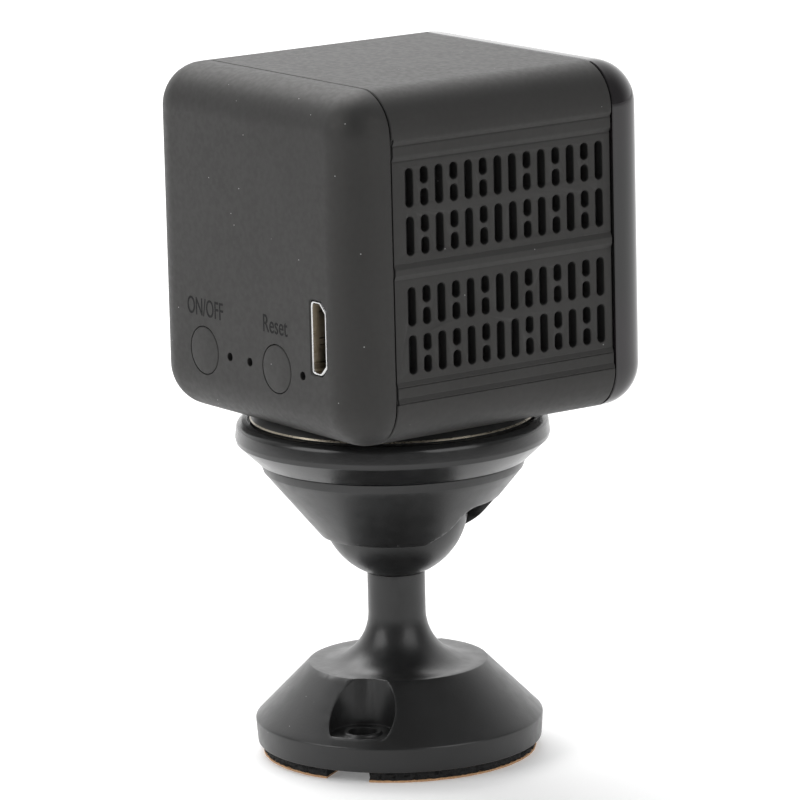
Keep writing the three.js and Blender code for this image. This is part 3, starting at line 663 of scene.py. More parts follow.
# %% [markdown]
# ### Rear cover
# The rear face is plain but for what it is pierced by: two round openings for the buttons, three pin
# holes and the socket's opening. Every cutter widens at its mouth, which leaves a fine chamfer.

# %% Rear cover
BUTTON_ROW = 7.2 - HEIGHT / 2
POWER = (8.79, BUTTON_ROW)
RESET = (-4.56, BUTTON_ROW)
BUTTON = 2.54
BUTTON_GAP = 0.07
PIN_HOLES = [(4.06, BUTTON_ROW), (0.39, BUTTON_ROW), (-9.25, BUTTON_ROW)]
PIN_HOLE = 0.45
USB = (6.27 - WIDTH / 2, 11.5 - HEIGHT / 2)
USB_HALF = (1.325, 3.85)
USB_CHAMFER = 0.95


def at_rear(x, z, y=0.0):
    """A point on the rear face's plane, from its place across and up."""
    return CUBE + Vector((x, REAR + y, z))


def hole_cutter(radius, chamfer, place, deep=2.6, sides=64):
    mouth = [(radius, -chamfer - FACE_BACK), (radius + chamfer + 0.5, 0.5), (0, 0.5)]
    profile = [(0, -deep), (radius, -deep)] + mouth
    return made("cutter", turned(profile, sides), ink, at_rear(*place), TOWARDS_REAR)


def usb_outline(grow, corner=0.25):
    w, h, c = USB_HALF[0] + grow, USB_HALF[1] + grow, USB_CHAMFER
    # the chamfered corners are on the -X side
    points = [(w, -h, corner * 2), (w, h, corner * 2), (c - w, h, corner), (-w, h - c, corner)]
    points += [(-w, c - h, corner), (c - w, -h, corner)]
    return softened(points, 4)


def usb_level(grow, y):
    return [(USB[0] + x, REAR + y, USB[1] + z) for x, z in usb_outline(grow)]


def usb_cutter():
    bm = stacked([usb_level(0.08, -3), usb_level(0.08, -0.18), usb_level(0.16, -0.1), usb_level(0.7, 0.5)])
    return made("cutter", bm, ink, CUBE)


rear_cover = cap("rear_cover_shell", finishes["body_black"], True)
cutters = [hole_cutter(BUTTON + BUTTON_GAP, 0.04, place) for place in (POWER, RESET)]
cutters += [hole_cutter(PIN_HOLE, 0.05, place, sides=32) for place in PIN_HOLES]
cut(rear_cover, cutters + [usb_cutter()])
finished(rear_cover, "camera", "rear_cover")

# %% Light guides behind the pin holes
def light_guide():
    """A smoked rod with a shoulder inside the wall; its end lies a little below the face."""
    tip = PIN_HOLE - 0.05
    return turned([(0, -3.9), (0.9, -3.9), (0.9, -1.55), (tip, -1.55), (tip, -0.6), (0, -0.6)], 32)


for i, place in enumerate(PIN_HOLES[:2], 1):
    rod = made(f"light_guide_{i}", light_guide(), finishes["smoked_window"], at_rear(*place), TOWARDS_REAR)
    finished(rod, "camera", f"light_pipe_{i}")

# %% [markdown]
# ### Buttons
# Each button is a flat cap that sits nearly flush, so all that shows is the fine round gap and the
# soft edge of the cap. Behind the wall it has a flange, which stops it falling out, and a stub.

# %% Buttons
def button(name, place):
    profile = softened(
        [
            (0, -2.5, 0), (1.0, -2.5, 0), (1.0, -2.0, 0), (BUTTON + 0.64, -2.0, 0.1),
            (BUTTON + 0.64, -1.5, 0.1), (BUTTON, -1.5, 0), (BUTTON, -0.02, 0.16), (0, -0.02, 0),
        ]
    )
    return made(name, turned(profile, 72), finishes["body_black"], at_rear(*place), TOWARDS_REAR)


for name, place in (("power_button", POWER), ("reset_button", RESET)):
    finished(button(name + "_cap", place), name, name)

# %% [markdown]
# ### Words above the buttons
# The two buttons carry plain printed words in tall narrow letters. A text curve gives the letters, its
# extrusion gives them the thickness of a coat of ink, and the result becomes a mesh.

# %% Printed words
INK_LOW = -FACE_BACK - 0.01
INK_TOP = -FACE_BACK + 0.015
WORD_ROW = BUTTON_ROW + 4.6


def word(name, text, width, height, x):
    """Ink on the rear face, read from behind the camera: its lines run towards -X."""
    curve = bpy.data.curves.new(name, "FONT")
    curve.body = text
    curve.align_x = "CENTER"
    curve.align_y = "CENTER"
    curve.extrude = 0.5
    curve.offset = 0.003
    curve.resolution_u = 4
    thing = bpy.data.objects.new(name, curve)
    scene.collection.objects.link(thing)
    bpy.context.view_layer.update()
    mesh = thing.evaluated_get(bpy.context.evaluated_depsgraph_get()).to_mesh()
    bm = bmesh.new()
    bm.from_mesh(mesh)
    thing.to_mesh_clear()
    bpy.data.objects.remove(thing)
    xs = [v.co.x for v in bm.verts]
    ys = [v.co.y for v in bm.verts]
    for v in bm.verts:
        across = ((v.co.x - min(xs)) / (max(xs) - min(xs)) - 0.5) * width
        upward = ((v.co.y - min(ys)) / (max(ys) - min(ys)) - 0.5) * height
        v.co = Vector((-across, INK_TOP if v.co.z > 0 else INK_LOW, upward))
    piece = made(name, bm, ink, at_rear(x, WORD_ROW))
    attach(piece, "camera")
    print(name, len(piece.data.polygons), "faces")


word("power_word", "ON/OFF", 6.65, 1.9, 8.45)
word("reset_word", "Reset", 4.4, 1.85, -4.5)

# %% [markdown]
# ### Socket
# The socket is a bright folded shell with two chamfered corners. Its rim is rolled over, its inner walls
# carry a darker, warm-tinted metal as painted shade, and a moulded tongue stands inside. The contacts on
# the tongue repeat, so they come later, once the tools for repeated pieces are there.

# %% Socket shell and tongue
USB_WALL = 0.21
USB_DEEP = 5.3


def usb_shell():
    outer = stacked([usb_level(0, -USB_DEEP), usb_level(0, -0.22), usb_level(-0.06, -0.12)])
    shell = made("usb_shell_metal", outer, finishes["steel"], CUBE, sharp=40)
    levels = [(0, 0.6 - USB_DEEP), (0, -0.2), (0.06, -0.1), (0.06, 0.1)]
    room = stacked([usb_level(grow - USB_WALL, y) for grow, y in levels])
    cut(shell, [made("cutter", room, finishes["steel"], CUBE)], 40)
    # the inner walls take the darker metal: painted shade inside the socket
    shell.data.materials.append(socket_inside)
    middle = (CUBE + Vector((USB[0], 0, USB[1]))) * MM
    for face in shell.data.polygons:
        inwards = (middle - face.center) * Vector((1, 0, 1))
        if face.normal.dot(inwards) > 0 and face.center.y < (CUBE.y + REAR - 0.16) * MM:
            face.material_index = 1
    return shell


def box_bm(x, y, z, bevel=0.0):
    bm = bmesh.new()
    bmesh.ops.create_cube(bm, size=1)
    bmesh.ops.scale(bm, vec=(x[1] - x[0], y[1] - y[0], z[1] - z[0]), verts=bm.verts)
    middle = Vector(((x[0] + x[1]) / 2, (y[0] + y[1]) / 2, (z[0] + z[1]) / 2))
    bmesh.ops.translate(bm, vec=middle, verts=bm.verts)
    if bevel:
        bmesh.ops.bevel(bm, geom=bm.edges, offset=bevel, segments=2, affect="EDGES", profile=0.5)
    return bm


finished(usb_shell(), "camera", "usb_shell")
tongue_bm = box_bm(
    (USB[0] - 0.45, USB[0] + 0.15), (REAR - USB_DEEP + 0.62, REAR - 0.95),
    (USB[1] - 2.65, USB[1] + 2.65),
    0.12,
)
tongue = made("usb_tongue_moulding", tongue_bm, finishes["chip"], CUBE)
finished(tongue, "camera", "usb_tongue")

# %% [markdown]
# ## Housing
# The housing is one section drawn out along Y: a rounded square whose two sides are stepped in twice
# towards the grille and come out again in a low rib between its two panels. The outline is written once
# for a quarter and mirrored.

# %% The housing's section
HOUSING_HALF = 14.13
HOUSING_WALL = 1.6
STEP = 0.2
OUTER_STEP = HEIGHT / 2 - CORNER - 0.05
INNER_STEP = OUTER_STEP - 1.65
STEP_RUN = 0.6
RIB_HALF = 0.37
RIB_RUN = 0.5
SEAM = 0.2  # the sides dip this far just before the rear cover


def side_half(inset, foot_mark, crest_mark):
    """From the rib out to the corner: (distance from the middle, height, rounding).

    A fine tool mark runs along the foot and the crest of each step."""
    w = WIDTH / 2 - inset
    points = [(w - STEP, RIB_HALF, 0.12), (w - 2 * STEP - foot_mark, RIB_HALF + RIB_RUN, 0.03)]
    points.append((w - 2 * STEP, RIB_HALF + RIB_RUN + 0.14, 0.04))
    for level, top in ((w - 2 * STEP, INNER_STEP), (w - STEP, OUTER_STEP)):
        points += [
            (level, top - STEP_RUN - 0.14, 0.04), (level - foot_mark, top - STEP_RUN, 0.03),
            (level + STEP - 0.03, top - 0.16, 0.04), (level + STEP - crest_mark, top - 0.06, 0.02),
            (level + STEP, top, 0.04),
        ]
    return points


def housing_section(inset, dip):
    above = side_half(inset + dip, 0.07, 0.01)
    below = side_half(inset + dip, 0.02, 0.09)
    # the pattern sits a little below the middle
    right = [(x, -z - 0.03, r) for x, z, r in reversed(below)] + [(x, z - 0.15, r) for x, z, r in above]
    radius = CORNER - inset
    rim_w, rim_h = WIDTH / 2 - CORNER, HEIGHT / 2 - CORNER
    top = arc(rim_w, rim_h, radius, 0, 90, 14) + arc(-rim_w, rim_h, radius, 90, 180, 14)
    left = [(-x, z, r) for x, z, r in reversed(right)]
    bottom = arc(-rim_w, -rim_h, radius, 180, 270, 14) + arc(rim_w, -rim_h, radius, 270, 360, 14)
    return softened(right + top + left + bottom, 4)


def housing_level(inset, dip, y):
    return [(x, y, z) for x, z in housing_section(inset, dip)]


def housing_tube():
    end = HOUSING_HALF
    ends = [(LIP, 0, -end), (0, 0, LIP - end), (0, 0, end - 0.25), (0, SEAM, end - 0.19)]
    ends += [(0, SEAM, end - LIP), (LIP, SEAM, end)]
    outside = stacked([housing_level(*level) for level in ends])
    tube = made("housing_shell", outside, finishes["body_black"], CUBE)
    half_w, half_h = WIDTH / 2 - HOUSING_WALL, HEIGHT / 2 - HOUSING_WALL
    room = rounded_square(half_w, half_h, CORNER - HOUSING_WALL, 6)
    loops = [[(x, y, z) for x, z in room] for y in (-HOUSING_HALF - 1, HOUSING_HALF + 1)]
    return cut(tube, [made("cutter", stacked(loops), finishes["body_black"], CUBE)])


# %% [markdown]
# ### Grille
# Each side has fourteen columns of slots in four rows. Counted from either end, the even columns hold
# one long slot and the odd ones two short slots. Geometry Nodes lays cutters out on that grid: it reads
# a column's number, takes its distance from the nearer end and picks the long or the short cutter.

# %% One slot cutter
SLOT = 0.5  # half width
LONG = 4.06
SHORT = 1.78
ROWS = (8.52, 3.51, -3.81, -8.82)
COLUMNS = 14
PITCH = 1.874
GRILLE_SHIFT = -0.42
SLOT_CHAMFER = 0.07
FACE_X = WIDTH / 2 - 2 * STEP  # the panel's surface


def capsule(grow, length):
    """Outline of a slot with round ends, in (y, z)."""
    r = SLOT + grow
    reach = length / 2 - SLOT
    upper = [(r * cos(radians(a)), reach + r * sin(radians(a))) for a in range(0, 181, 20)]
    lower = [(r * cos(radians(a)), -reach + r * sin(radians(a))) for a in range(180, 361, 20)]
    return upper + lower


def slot_cutter(name, length):
    """A cutter about its slot's middle that reaches through both side walls, in metres."""
    inside = HOUSING_WALL - 2 * STEP + 0.4
    levels = [(0, -inside), (0, -SLOT_CHAMFER), (SLOT_CHAMFER, 0), (SLOT_CHAMFER + 0.5, 0.5)]
    loops = [[(x, y, z) for y, z in capsule(grow, length)] for grow, x in levels]
    thing = made(name, stacked(loops), finishes["body_black"])
    thing.hide_render = True
    return thing


# %% The grid of cutters as a Geometry Nodes tree
def new_tree(name, inputs):
    """An empty tree with named inputs and a geometry output: the tree, its given values, its end node."""
    tree = bpy.data.node_groups.new(name, "GeometryNodeTree")
    for label, kind in inputs:
        tree.interface.new_socket(label, in_out="INPUT", socket_type=kind)
    tree.interface.new_socket("Geometry", in_out="OUTPUT", socket_type="NodeSocketGeometry")
    return tree, tree.nodes.new("NodeGroupInput").outputs, tree.nodes.new("NodeGroupOutput")


def math(tree, operation, first, second):
    return added(tree, "ShaderNodeMath", {0: first, 1: second}, operation=operation)


def centred_line(tree, count, spacing, axis):
    """Points spaced along an axis of the tree's space, their middle at the origin."""
    half = math(tree, "MULTIPLY", math(tree, "SUBTRACT", count, 1), -0.5)
    start = added(tree, "ShaderNodeCombineXYZ", {axis: math(tree, "MULTIPLY", half, spacing)})
    step = added(tree, "ShaderNodeCombineXYZ", {axis: spacing})
    line = {"Count": count, "Start Location": start, "Offset": step}
    return added(tree, "GeometryNodeMeshLine", line, mode="OFFSET")


def copies(tree, points, thing, chosen=True):
    """A copy of an object on each chosen point."""
    shape = added(tree, "GeometryNodeObjectInfo", {"Object": thing}, "Geometry")
    inputs = {"Points": points, "Instance": shape, "Selection": chosen}
    return added(tree, "GeometryNodeInstanceOnPoints", inputs)


def completed(tree, instances, material, result):
    """Makes the copies real, gives them their material and closes the tree."""
    real = added(tree, "GeometryNodeRealizeInstances", {"Geometry": instances})
    painted = added(tree, "GeometryNodeSetMaterial", {"Geometry": real, "Material": material})
    tree.links.new(painted, result.inputs["Geometry"])
    return tree


def grille_tree():
    inputs = [
        ("Columns", "NodeSocketInt"), ("Pitch", "NodeSocketFloat"), ("Long slot", "NodeSocketObject"),
        ("Short slot", "NodeSocketObject"), ("Pair offset", "NodeSocketFloat"),
        ("Material", "NodeSocketMaterial"),
    ]
    tree, given, result = new_tree("grille_row", inputs)
    line = centred_line(tree, given["Columns"], given["Pitch"], "Y")
    index = added(tree, "GeometryNodeInputIndex", {})
    from_end = math(tree, "SUBTRACT", math(tree, "SUBTRACT", given["Columns"], 1), index)
    is_short = math(tree, "MODULO", math(tree, "MINIMUM", index, from_end), 2)
    is_long = math(tree, "SUBTRACT", 1, is_short)
    joined = tree.nodes.new("GeometryNodeJoinGeometry")
    for label, chosen, lifts in (("Long slot", is_long, (0,)), ("Short slot", is_short, (-1, 1))):
        for lift in lifts:
            height = math(tree, "MULTIPLY", given["Pair offset"], lift)
            offset = added(tree, "ShaderNodeCombineXYZ", {"Z": height})
            points = added(tree, "GeometryNodeSetPosition", {"Geometry": line, "Offset": offset})
            tree.links.new(copies(tree, points, given[label], chosen), joined.inputs["Geometry"])
    return completed(tree, joined.outputs["Geometry"], given["Material"], result)


def grown(name, tree, values):
    """Runs a tree on an empty mesh object and keeps the result as a plain mesh."""
    thing = bpy.data.objects.new(name, bpy.data.meshes.new(name))
    scene.collection.objects.link(thing)
    modifier = thing.modifiers.new(name, "NODES")
    modifier.node_group = tree
    for socket in tree.interface.items_tree:
        if socket.in_out == "INPUT" and socket.name in values:
            modifier[socket.identifier] = values[socket.name]
    return applied(thing)


row_tree = grille_tree()
long_cutter = slot_cutter("long_cutter", LONG)
short_cutter = slot_cutter("short_cutter", SHORT)
row_values = {
    "Columns": COLUMNS,
    "Pitch": PITCH * MM,
    "Long slot": long_cutter,
    "Short slot": short_cutter,
    "Pair offset": (LONG - SHORT) / 2 * MM,
    "Material": finishes["body_black"],
}
row = grown("grille_row", row_tree, row_values)
print("one grille row:", len(row.data.polygons), "faces")

# %% Cut the grille and the card's slot into the housing
def grille_cutter():
    """All rows of both sides as one mesh."""
    bm = bmesh.new()
    for mirrored in (False, True):
        for z in ROWS:
            part = bmesh.new()
            part.from_mesh(row.data)
            shift = Vector((FACE_X, GRILLE_SHIFT, z)) * MM
            bmesh.ops.translate(part, vec=shift, verts=part.verts)
            if mirrored:  # which turns the faces over, so they are turned back
                bmesh.ops.scale(part, vec=(-1, 1, 1), verts=part.verts)
                bmesh.ops.reverse_faces(part, faces=part.faces)
            mesh = bpy.data.meshes.new("part")
            part.to_mesh(mesh)
            part.free()
            bm.from_mesh(mesh)
            bpy.data.meshes.remove(mesh)
    bmesh.ops.translate(bm, vec=CUBE * MM, verts=bm.verts)
    mesh = bpy.data.meshes.new("grille_cutter")
    bm.to_mesh(mesh)
    bm.free()
    thing = bpy.data.objects.new("grille_cutter", mesh)
    scene.collection.objects.link(thing)
    return thing


housing = housing_tube()
card_low, card_high = (Vector(corner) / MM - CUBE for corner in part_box("memory_card"))
card_bm = box_bm(
    (card_low.x - 0.3, card_high.x + 0.3), (card_low.y - 0.2, card_high.y + 0.2),
    (-HEIGHT / 2 - 1, -HEIGHT / 2 + HOUSING_WALL + 1),
)
cut(housing, [grille_cutter(), made("cutter", card_bm, finishes["body_black"], CUBE)])
for cutter in (long_cutter, short_cutter, row):
    bpy.data.objects.remove(cutter)
finished(housing, "camera", "housing")

# %% [markdown]
# ### Contacts in the socket
# Five gilt blades lie side by side along the tongue, each let into it with its outer half standing
# proud. They are one strip of metal five times over, so a short tree places one blade on each point of
# a line, and the number and the spacing stay open as inputs.

# %% Contacts along the tongue
def contact_tree():
    inputs = [
        ("Contacts", "NodeSocketInt"), ("Spacing", "NodeSocketFloat"), ("Blade", "NodeSocketObject"),
        ("Material", "NodeSocketMaterial"),
    ]
    tree, given, result = new_tree("contact_row", inputs)
    line = centred_line(tree, given["Contacts"], given["Spacing"], "Z")
    return completed(tree, copies(tree, line, given["Blade"]), given["Material"], result)


blade = made("blade", box_bm((-0.06, 0.06), (-1.7, 1.7), (-0.2, 0.2), 0.03), gold)
contact_values = {"Contacts": 5, "Spacing": 0.65 * MM, "Blade": blade, "Material": gold}
contacts = grown("usb_contacts", contact_tree(), contact_values)
bpy.data.objects.remove(blade)
contacts.data.transform(Matrix.Translation((CUBE + Vector((USB[0] + 0.15, REAR - 2.85, USB[1]))) * MM))
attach(contacts, "camera")
print("contacts:", len(contacts.data.polygons), "faces")

# %% [markdown]
# ## Front of the camera
# The front is a polished cap with one large round window set into it. The window's seat is turned in two
# steps, so that the disc rests on a lip, and the seat's outer edge carries a small chamfer.

# %% Front cover and window
WINDOW_R = extent("front_window", X) / 2
WINDOW_LIP = 0.8
WINDOW_FACE = lowest("front_window", Y) - CUBE.y
WINDOW_BACK = highest("front_window", Y) - CUBE.y
FIT = 0.1
LENS_RING_R = 4.3


def front_turned(name, profile, material, place=(0, 0), sides=96):
    """A piece turned about the viewing axis: heights in the profile run towards the front."""
    x, z = place
    return made(name, turned(profile, sides), material, CUBE + Vector((x, 0, z)), TOWARDS_FRONT)


def front_seat():
    face = -FRONT
    seat = -WINDOW_BACK
    outline = [
        (0, face - 3), (WINDOW_R - WINDOW_LIP, face - 3), (WINDOW_R - WINDOW_LIP, seat),
        (WINDOW_R + FIT, seat), (WINDOW_R + FIT, face - 0.15), (WINDOW_R + FIT + 0.6, face + 0.35),
        (0, face + 0.35),
    ]
    return front_turned("cutter", outline, ink, sides=128)


front_cover = cap("front_cover_shell", finishes["gloss_black"], False)
cut(front_cover, [front_seat()])
finished(front_cover, "camera", "front_cover")

window_profile = softened(
    [
        (LENS_RING_R + FIT, -WINDOW_BACK, 0), (WINDOW_R, -WINDOW_BACK, 0),
        (WINDOW_R, -WINDOW_FACE, 0.25), (LENS_RING_R + FIT, -WINDOW_FACE, 0.08),
    ]
)
window = front_turned("window_disc", window_profile, finishes["smoked_window"], sides=128)
finished(window, "camera", "front_window")

# %% [markdown]
# ### Lens
# A ring frames the lens and steps down to it in narrow rings that keep stray light out. The lens itself
# is a shallow dome of coated glass in its barrel.

# %% Lens ring, barrel and glass
BARREL_R = 3.5
LENS_BORE = BARREL_R - 0.9
RING_STEPS = 4


def lens_ring():
    """The ring's mouth steps inwards from its rim to the barrel."""
    top = -WINDOW_FACE - 0.05
    low = -WINDOW_BACK
    mouth = []
    for i in range(RING_STEPS):
        r = BARREL_R + 0.15 - i * 0.25
        z = top - 0.12 - i * 0.19
        mouth += [(r, z, 0.03), (r - 0.05, z - 0.19, 0.03)]
    points = [(LENS_RING_R, low, 0), (LENS_RING_R, top, 0.12), (BARREL_R + 0.3, top, 0.12)] + mouth
    points += [(LENS_BORE, low, 0)]
    return front_turned("lens_ring_bezel", softened(points, 3), finishes["gloss_black"])


def lens_barrel():
    top = CUBE.y - lowest("lens_barrel", Y)
    foot = CUBE.y - highest("lens_barrel", Y)
    bore = LENS_BORE
    points = [(bore, foot, 0), (BARREL_R, foot, 0.1), (BARREL_R, top, 0.15), (bore + 0.3, top, 0.05)]
    points += [(bore + 0.12, top - 0.15, 0.03), (bore, top - 0.3, 0)]
    return front_turned("lens_barrel_tube", softened(points, 3), finishes["chip"])


def dome_profile(radius, rise, crown, foot, steps=12):
    """A shallow dome whose top is at crown, standing on a rim down to foot."""
    sphere = (radius ** 2 + rise ** 2) / (2 * rise)
    span = asin(radius / sphere)
    points = [(0, foot), (radius, foot)]
    for k in range(steps + 1):
        t = span * (1 - k / steps)
        points.append((sphere * sin(t), crown - sphere * (1 - cos(t))))
    return points


finished(lens_ring(), "camera", "lens_ring")
finished(lens_barrel(), "camera", "lens_barrel")
glass_top = CUBE.y - lowest("lens_glass", Y)
glass_foot = CUBE.y - highest("lens_glass", Y)
glass_profile = dome_profile(extent("lens_glass", X) / 2, 0.5, glass_top, glass_foot)
glass = front_turned("lens_dome", glass_profile, finishes["lens_glass"])
finished(glass, "camera", "lens_glass")

# %% [markdown]
# ### Lamps round the lens
# Six infrared lamps, a light sensor and a status light stand on one circle behind the window. One lamp
# is a short clear cylinder with a domed end on a white foot. Geometry Nodes place a lamp on each point
# of a circle and leave out the two places that the sensor and the light take.

# %% One lamp and its circle
LED_CIRCLE = WINDOW_R - 4.4
LED_R = 1.5
LED_TOP = CUBE.y - lowest("ir_led_1", Y)
LED_FOOT = CUBE.y - highest("ir_led_1", Y)
LED_PLACES = 8


def lamp_outline(radius):
    height = LED_TOP - LED_FOOT
    points = [(radius, 0, 0), (radius, height - 0.55, 0.05), (radius * 0.82, height - 0.5, 0.05)]
    crown = dome_profile(radius * 0.8, 0.45, height, 0)[2:]
    return softened([(0, 0, 0)] + points + [(r, z, 0) for r, z in crown], 3)


def circle_tree():
    inputs = [
        ("Places", "NodeSocketInt"), ("Radius", "NodeSocketFloat"), ("Lamp", "NodeSocketObject"),
        ("Material", "NodeSocketMaterial"),
    ]
    tree, given, result = new_tree("lamp_circle", inputs)
    circle = added(tree, "GeometryNodeMeshCircle", {"Vertices": given["Places"], "Radius": given["Radius"]})
    circle = added(tree, "GeometryNodeTransform", {"Geometry": circle, "Rotation": (0, 0, pi / 2)})
    index = added(tree, "GeometryNodeInputIndex", {})
    taken = math(tree, "MODULO", index, math(tree, "MULTIPLY", given["Places"], 0.5))
    kept = math(tree, "GREATER_THAN", taken, 0.5)
    return completed(tree, copies(tree, circle, given["Lamp"], kept), given["Material"], result)


one_lamp = made("one_lamp", turned(lamp_outline(LED_R), 32), finishes["lamp"])
lamp_finish = finishes["lamp"]
lamp_values = {"Places": LED_PLACES, "Radius": LED_CIRCLE * MM, "Lamp": one_lamp, "Material": lamp_finish}
lamps = grown("infrared_lamps", circle_tree(), lamp_values)
bpy.data.objects.remove(one_lamp)
stand_out = Matrix.Translation((CUBE + Vector((0, -LED_FOOT, 0))) * MM) @ TOWARDS_FRONT
lamps.data.transform(stand_out)
smooth(lamps.data)
finished(lamps, "camera", *[f"ir_led_{i}" for i in range(1, 7)])

for node, radius, sign in (("light_sensor", 1.2, 1), ("front_status_light", 1.0, -1)):
    outline = [(r, z + LED_FOOT) for r, z in lamp_outline(radius)]
    piece = front_turned(node + "_lens", outline, finishes["lamp"], (0, sign * LED_CIRCLE), 32)
    finished(piece, "camera", node)

board_r = extent("led_board", X) / 2
board_top = CUBE.y - lowest("led_board", Y)
board_foot = CUBE.y - highest("led_board", Y)
board_profile = softened(
    [
        (BARREL_R + 1.9, board_foot, 0.05), (board_r, board_foot, 0.05), (board_r, board_top, 0.05),
        (BARREL_R + 1.9, board_top, 0.05),
    ],
    2,
)
board = front_turned("lamp_board_disc", board_profile, finishes["board"])
finished(board, "camera", "led_board")

# %% [markdown]
# ## Base
# The base, its skirt and the post above it are one moulding, so one profile is turned: an upright rim, a
# straight skirt, a flat shoulder and a hollow curve that runs up into the post. The curve is a quarter
# of an ellipse, which leaves the shoulder flat and enters the post upright.

# %% Base profile
BASE_LOW = lowest("base", Z)
BASE_R = extent("base", Y) / 2
RIM_TOP = BASE_LOW + 2.65
SHOULDER = RIM_TOP + 5.92
SHOULDER_R = 9.6
POST_R = 3.09
FLARE_WIDE = 5.2
FLARE_TALL = 5.35
POST_TOP = BALL.z - sqrt(BALL_R ** 2 - (POST_R + 0.25) ** 2) - FIT
SPIGOT_TOP = BALL.z - 0.8


def base_profile():
    flare = []
    for k in range(25):
        t = pi / 2 * k / 24
        flare.append((POST_R + FLARE_WIDE * (1 - sin(t)), SHOULDER + FLARE_TALL * (1 - cos(t)), 0))
    return softened(
        [
            (0, BASE_LOW, 0), (BASE_R - 0.2, BASE_LOW, 0.25), (BASE_R, RIM_TOP, 0.35),
            (SHOULDER_R, SHOULDER, 0.22), *flare, (POST_R, POST_TOP, 0.1), (2.0, POST_TOP, 0),
            (2.0, SPIGOT_TOP, 0), (1.3, SPIGOT_TOP, 0), (1.3, SPIGOT_TOP - 5, 0),
            (0, SPIGOT_TOP - 5, 0),
        ]
    )


# %% [markdown]
# ### Screw pockets
# Two upright pockets in the skirt take wood screws where the adhesive isn't trusted. Each is cut with a
# turned cutter that has a rounded floor and a raised lip round the screw's hole, and the edge that the
# cut leaves in the skirt is eased.

# %% Cut the pockets
POCKET_R = 3.5
POCKET_CIRCLE = 12.4
POCKET_LOW = RIM_TOP + 0.85
POCKET_TURN = 126
HOLE_R = 1.5
LIP_TALL = 0.28


def pocket_centre(turn):
    a = radians(POCKET_TURN + turn)
    return Vector((POCKET_CIRCLE * cos(a), POCKET_CIRCLE * sin(a), 0))


def pocket_cutter(turn):
    outline = softened(
        [
            (0, BASE_LOW - 1, 0), (HOLE_R, BASE_LOW - 1, 0), (HOLE_R, POCKET_LOW + LIP_TALL, 0.1),
            (HOLE_R + 0.45, POCKET_LOW + LIP_TALL, 0.12), (HOLE_R + 0.6, POCKET_LOW, 0.1),
            (POCKET_R, POCKET_LOW, 0.25), (POCKET_R, SHOULDER + 4, 0), (0, SHOULDER + 4, 0),
        ],
        3,
    )
    return made("cutter", turned(outline, 72), ink, pocket_centre(turn))


base = made("base_moulding", turned(ringed(base_profile()), 160), finishes["stand_black"])
cut(base, [pocket_cutter(0), pocket_cutter(180)], ease=0.09)
finished(base, "stand", "base")

# %% [markdown]
# ### Foam pad and liner
# The pad was punched from foam, so its edge is torn and uneven, and the paper liner under it is a clean
# disc that sits a little out of line. Both outlines are walked round in small steps, and each point is
# pushed in by noise from its own place. The pad repeats that on several levels.

# %% Pad and liner
PAD_R = 14.7
NOTCH = 4.9
NOTCH_START = POCKET_CIRCLE - NOTCH / 2
NOTCH_TURN = -4.5  # stuck on a little out of line with the pockets


def pad_outline(step):
    """The disc with its two notches, as points about step millimetres apart."""
    half = asin(NOTCH / 2 / PAD_R)
    points = []
    for turn in (0, pi):
        middle = radians(POCKET_TURN + NOTCH_TURN) + turn
        start, end = middle + half, middle + pi - half
        count = int(PAD_R * (end - start) / step)
        for k in range(count + 1):
            t = start + (end - start) * k / count
            points.append(Vector((PAD_R * cos(t), PAD_R * sin(t))))
        # the next notch: in along one side, across and out again
        out = Vector((cos(middle + pi), sin(middle + pi)))
        side = Vector((-out.y, out.x)) * NOTCH / 2
        deep = PAD_R * cos(half)
        for along, across in ((1, -1), (0, -1), (0, 1), (1, 1)):
            reach = NOTCH_START + (deep - NOTCH_START) * along
            points.append(out * reach + side * across)
    dense = []
    for here, after in zip(points, points[1:] + points[:1]):
        count = max(1, round((after - here).length / step))
        dense += [here.lerp(after, k / count) for k in range(count)]
    return dense


def ragged_layers(name, node, material, levels, depth, size, shrink):
    z0, z1 = lowest(node, Z), highest(node, Z)
    outline = pad_outline(0.3)
    loops = []
    for i in range(levels):
        z = z0 + (z1 - z0) * i / (levels - 1)
        loop = []
        for p in outline:
            wave = noise.fractal((p.x / size, p.y / size, z / size), 0.8, 2.0, 4)
            push = shrink - depth * abs(wave)
            loop.append((p.x * (1 + push / PAD_R), p.y * (1 + push / PAD_R), z))
        loops.append(loop)
    return made(name, stacked(loops), material, sharp=60)


pad = ragged_layers("foam_pad_disc", "foam_pad", finishes["foam"], 6, 0.6, 0.6, -0.02)
finished(pad, "stand", "foam_pad")
liner = ragged_layers("liner_paper", "release_liner", finishes["kraft"], 2, 0.12, 3.0, -0.02)
finished(liner, "stand", "release_liner")

# %% [markdown]
# ## Ball
# The ball is cut flat at its top for the screw's head and at its foot for the post. Its profile is an
# arc between the two flats.

# %% Ball
def ball_profile():
    foot = sqrt(BALL_R ** 2 - (POST_R + 0.25) ** 2)
    low, high = degrees(asin(-foot / BALL_R)), degrees(asin(TOP_FLAT / BALL_R))
    outer = arc(0, BALL.z, BALL_R, low, high, 40)
    inner = [
        (2.3, TOP_FLAT, 0.1), (2.3, TOP_FLAT - 2, 0), (1.3, TOP_FLAT - 2, 0), (1.3, -0.5, 0),
        (2.2, -0.5, 0), (2.2, -foot, 0),
    ]
    return softened(outer + [(r, z + BALL.z, ease) for r, z, ease in inner], 3)


ball = made("ball_turned", turned(ball_profile(), 96), finishes["stand_black"])
finished(ball, "ball", "ball")

# %% [markdown]
# ## Head
# The cone holds the ball from below, and the ring clamps it from above and carries the magnet. They
# meet in a fine dark seam: both edges there are eased, and the cone ends in a steep band just below.

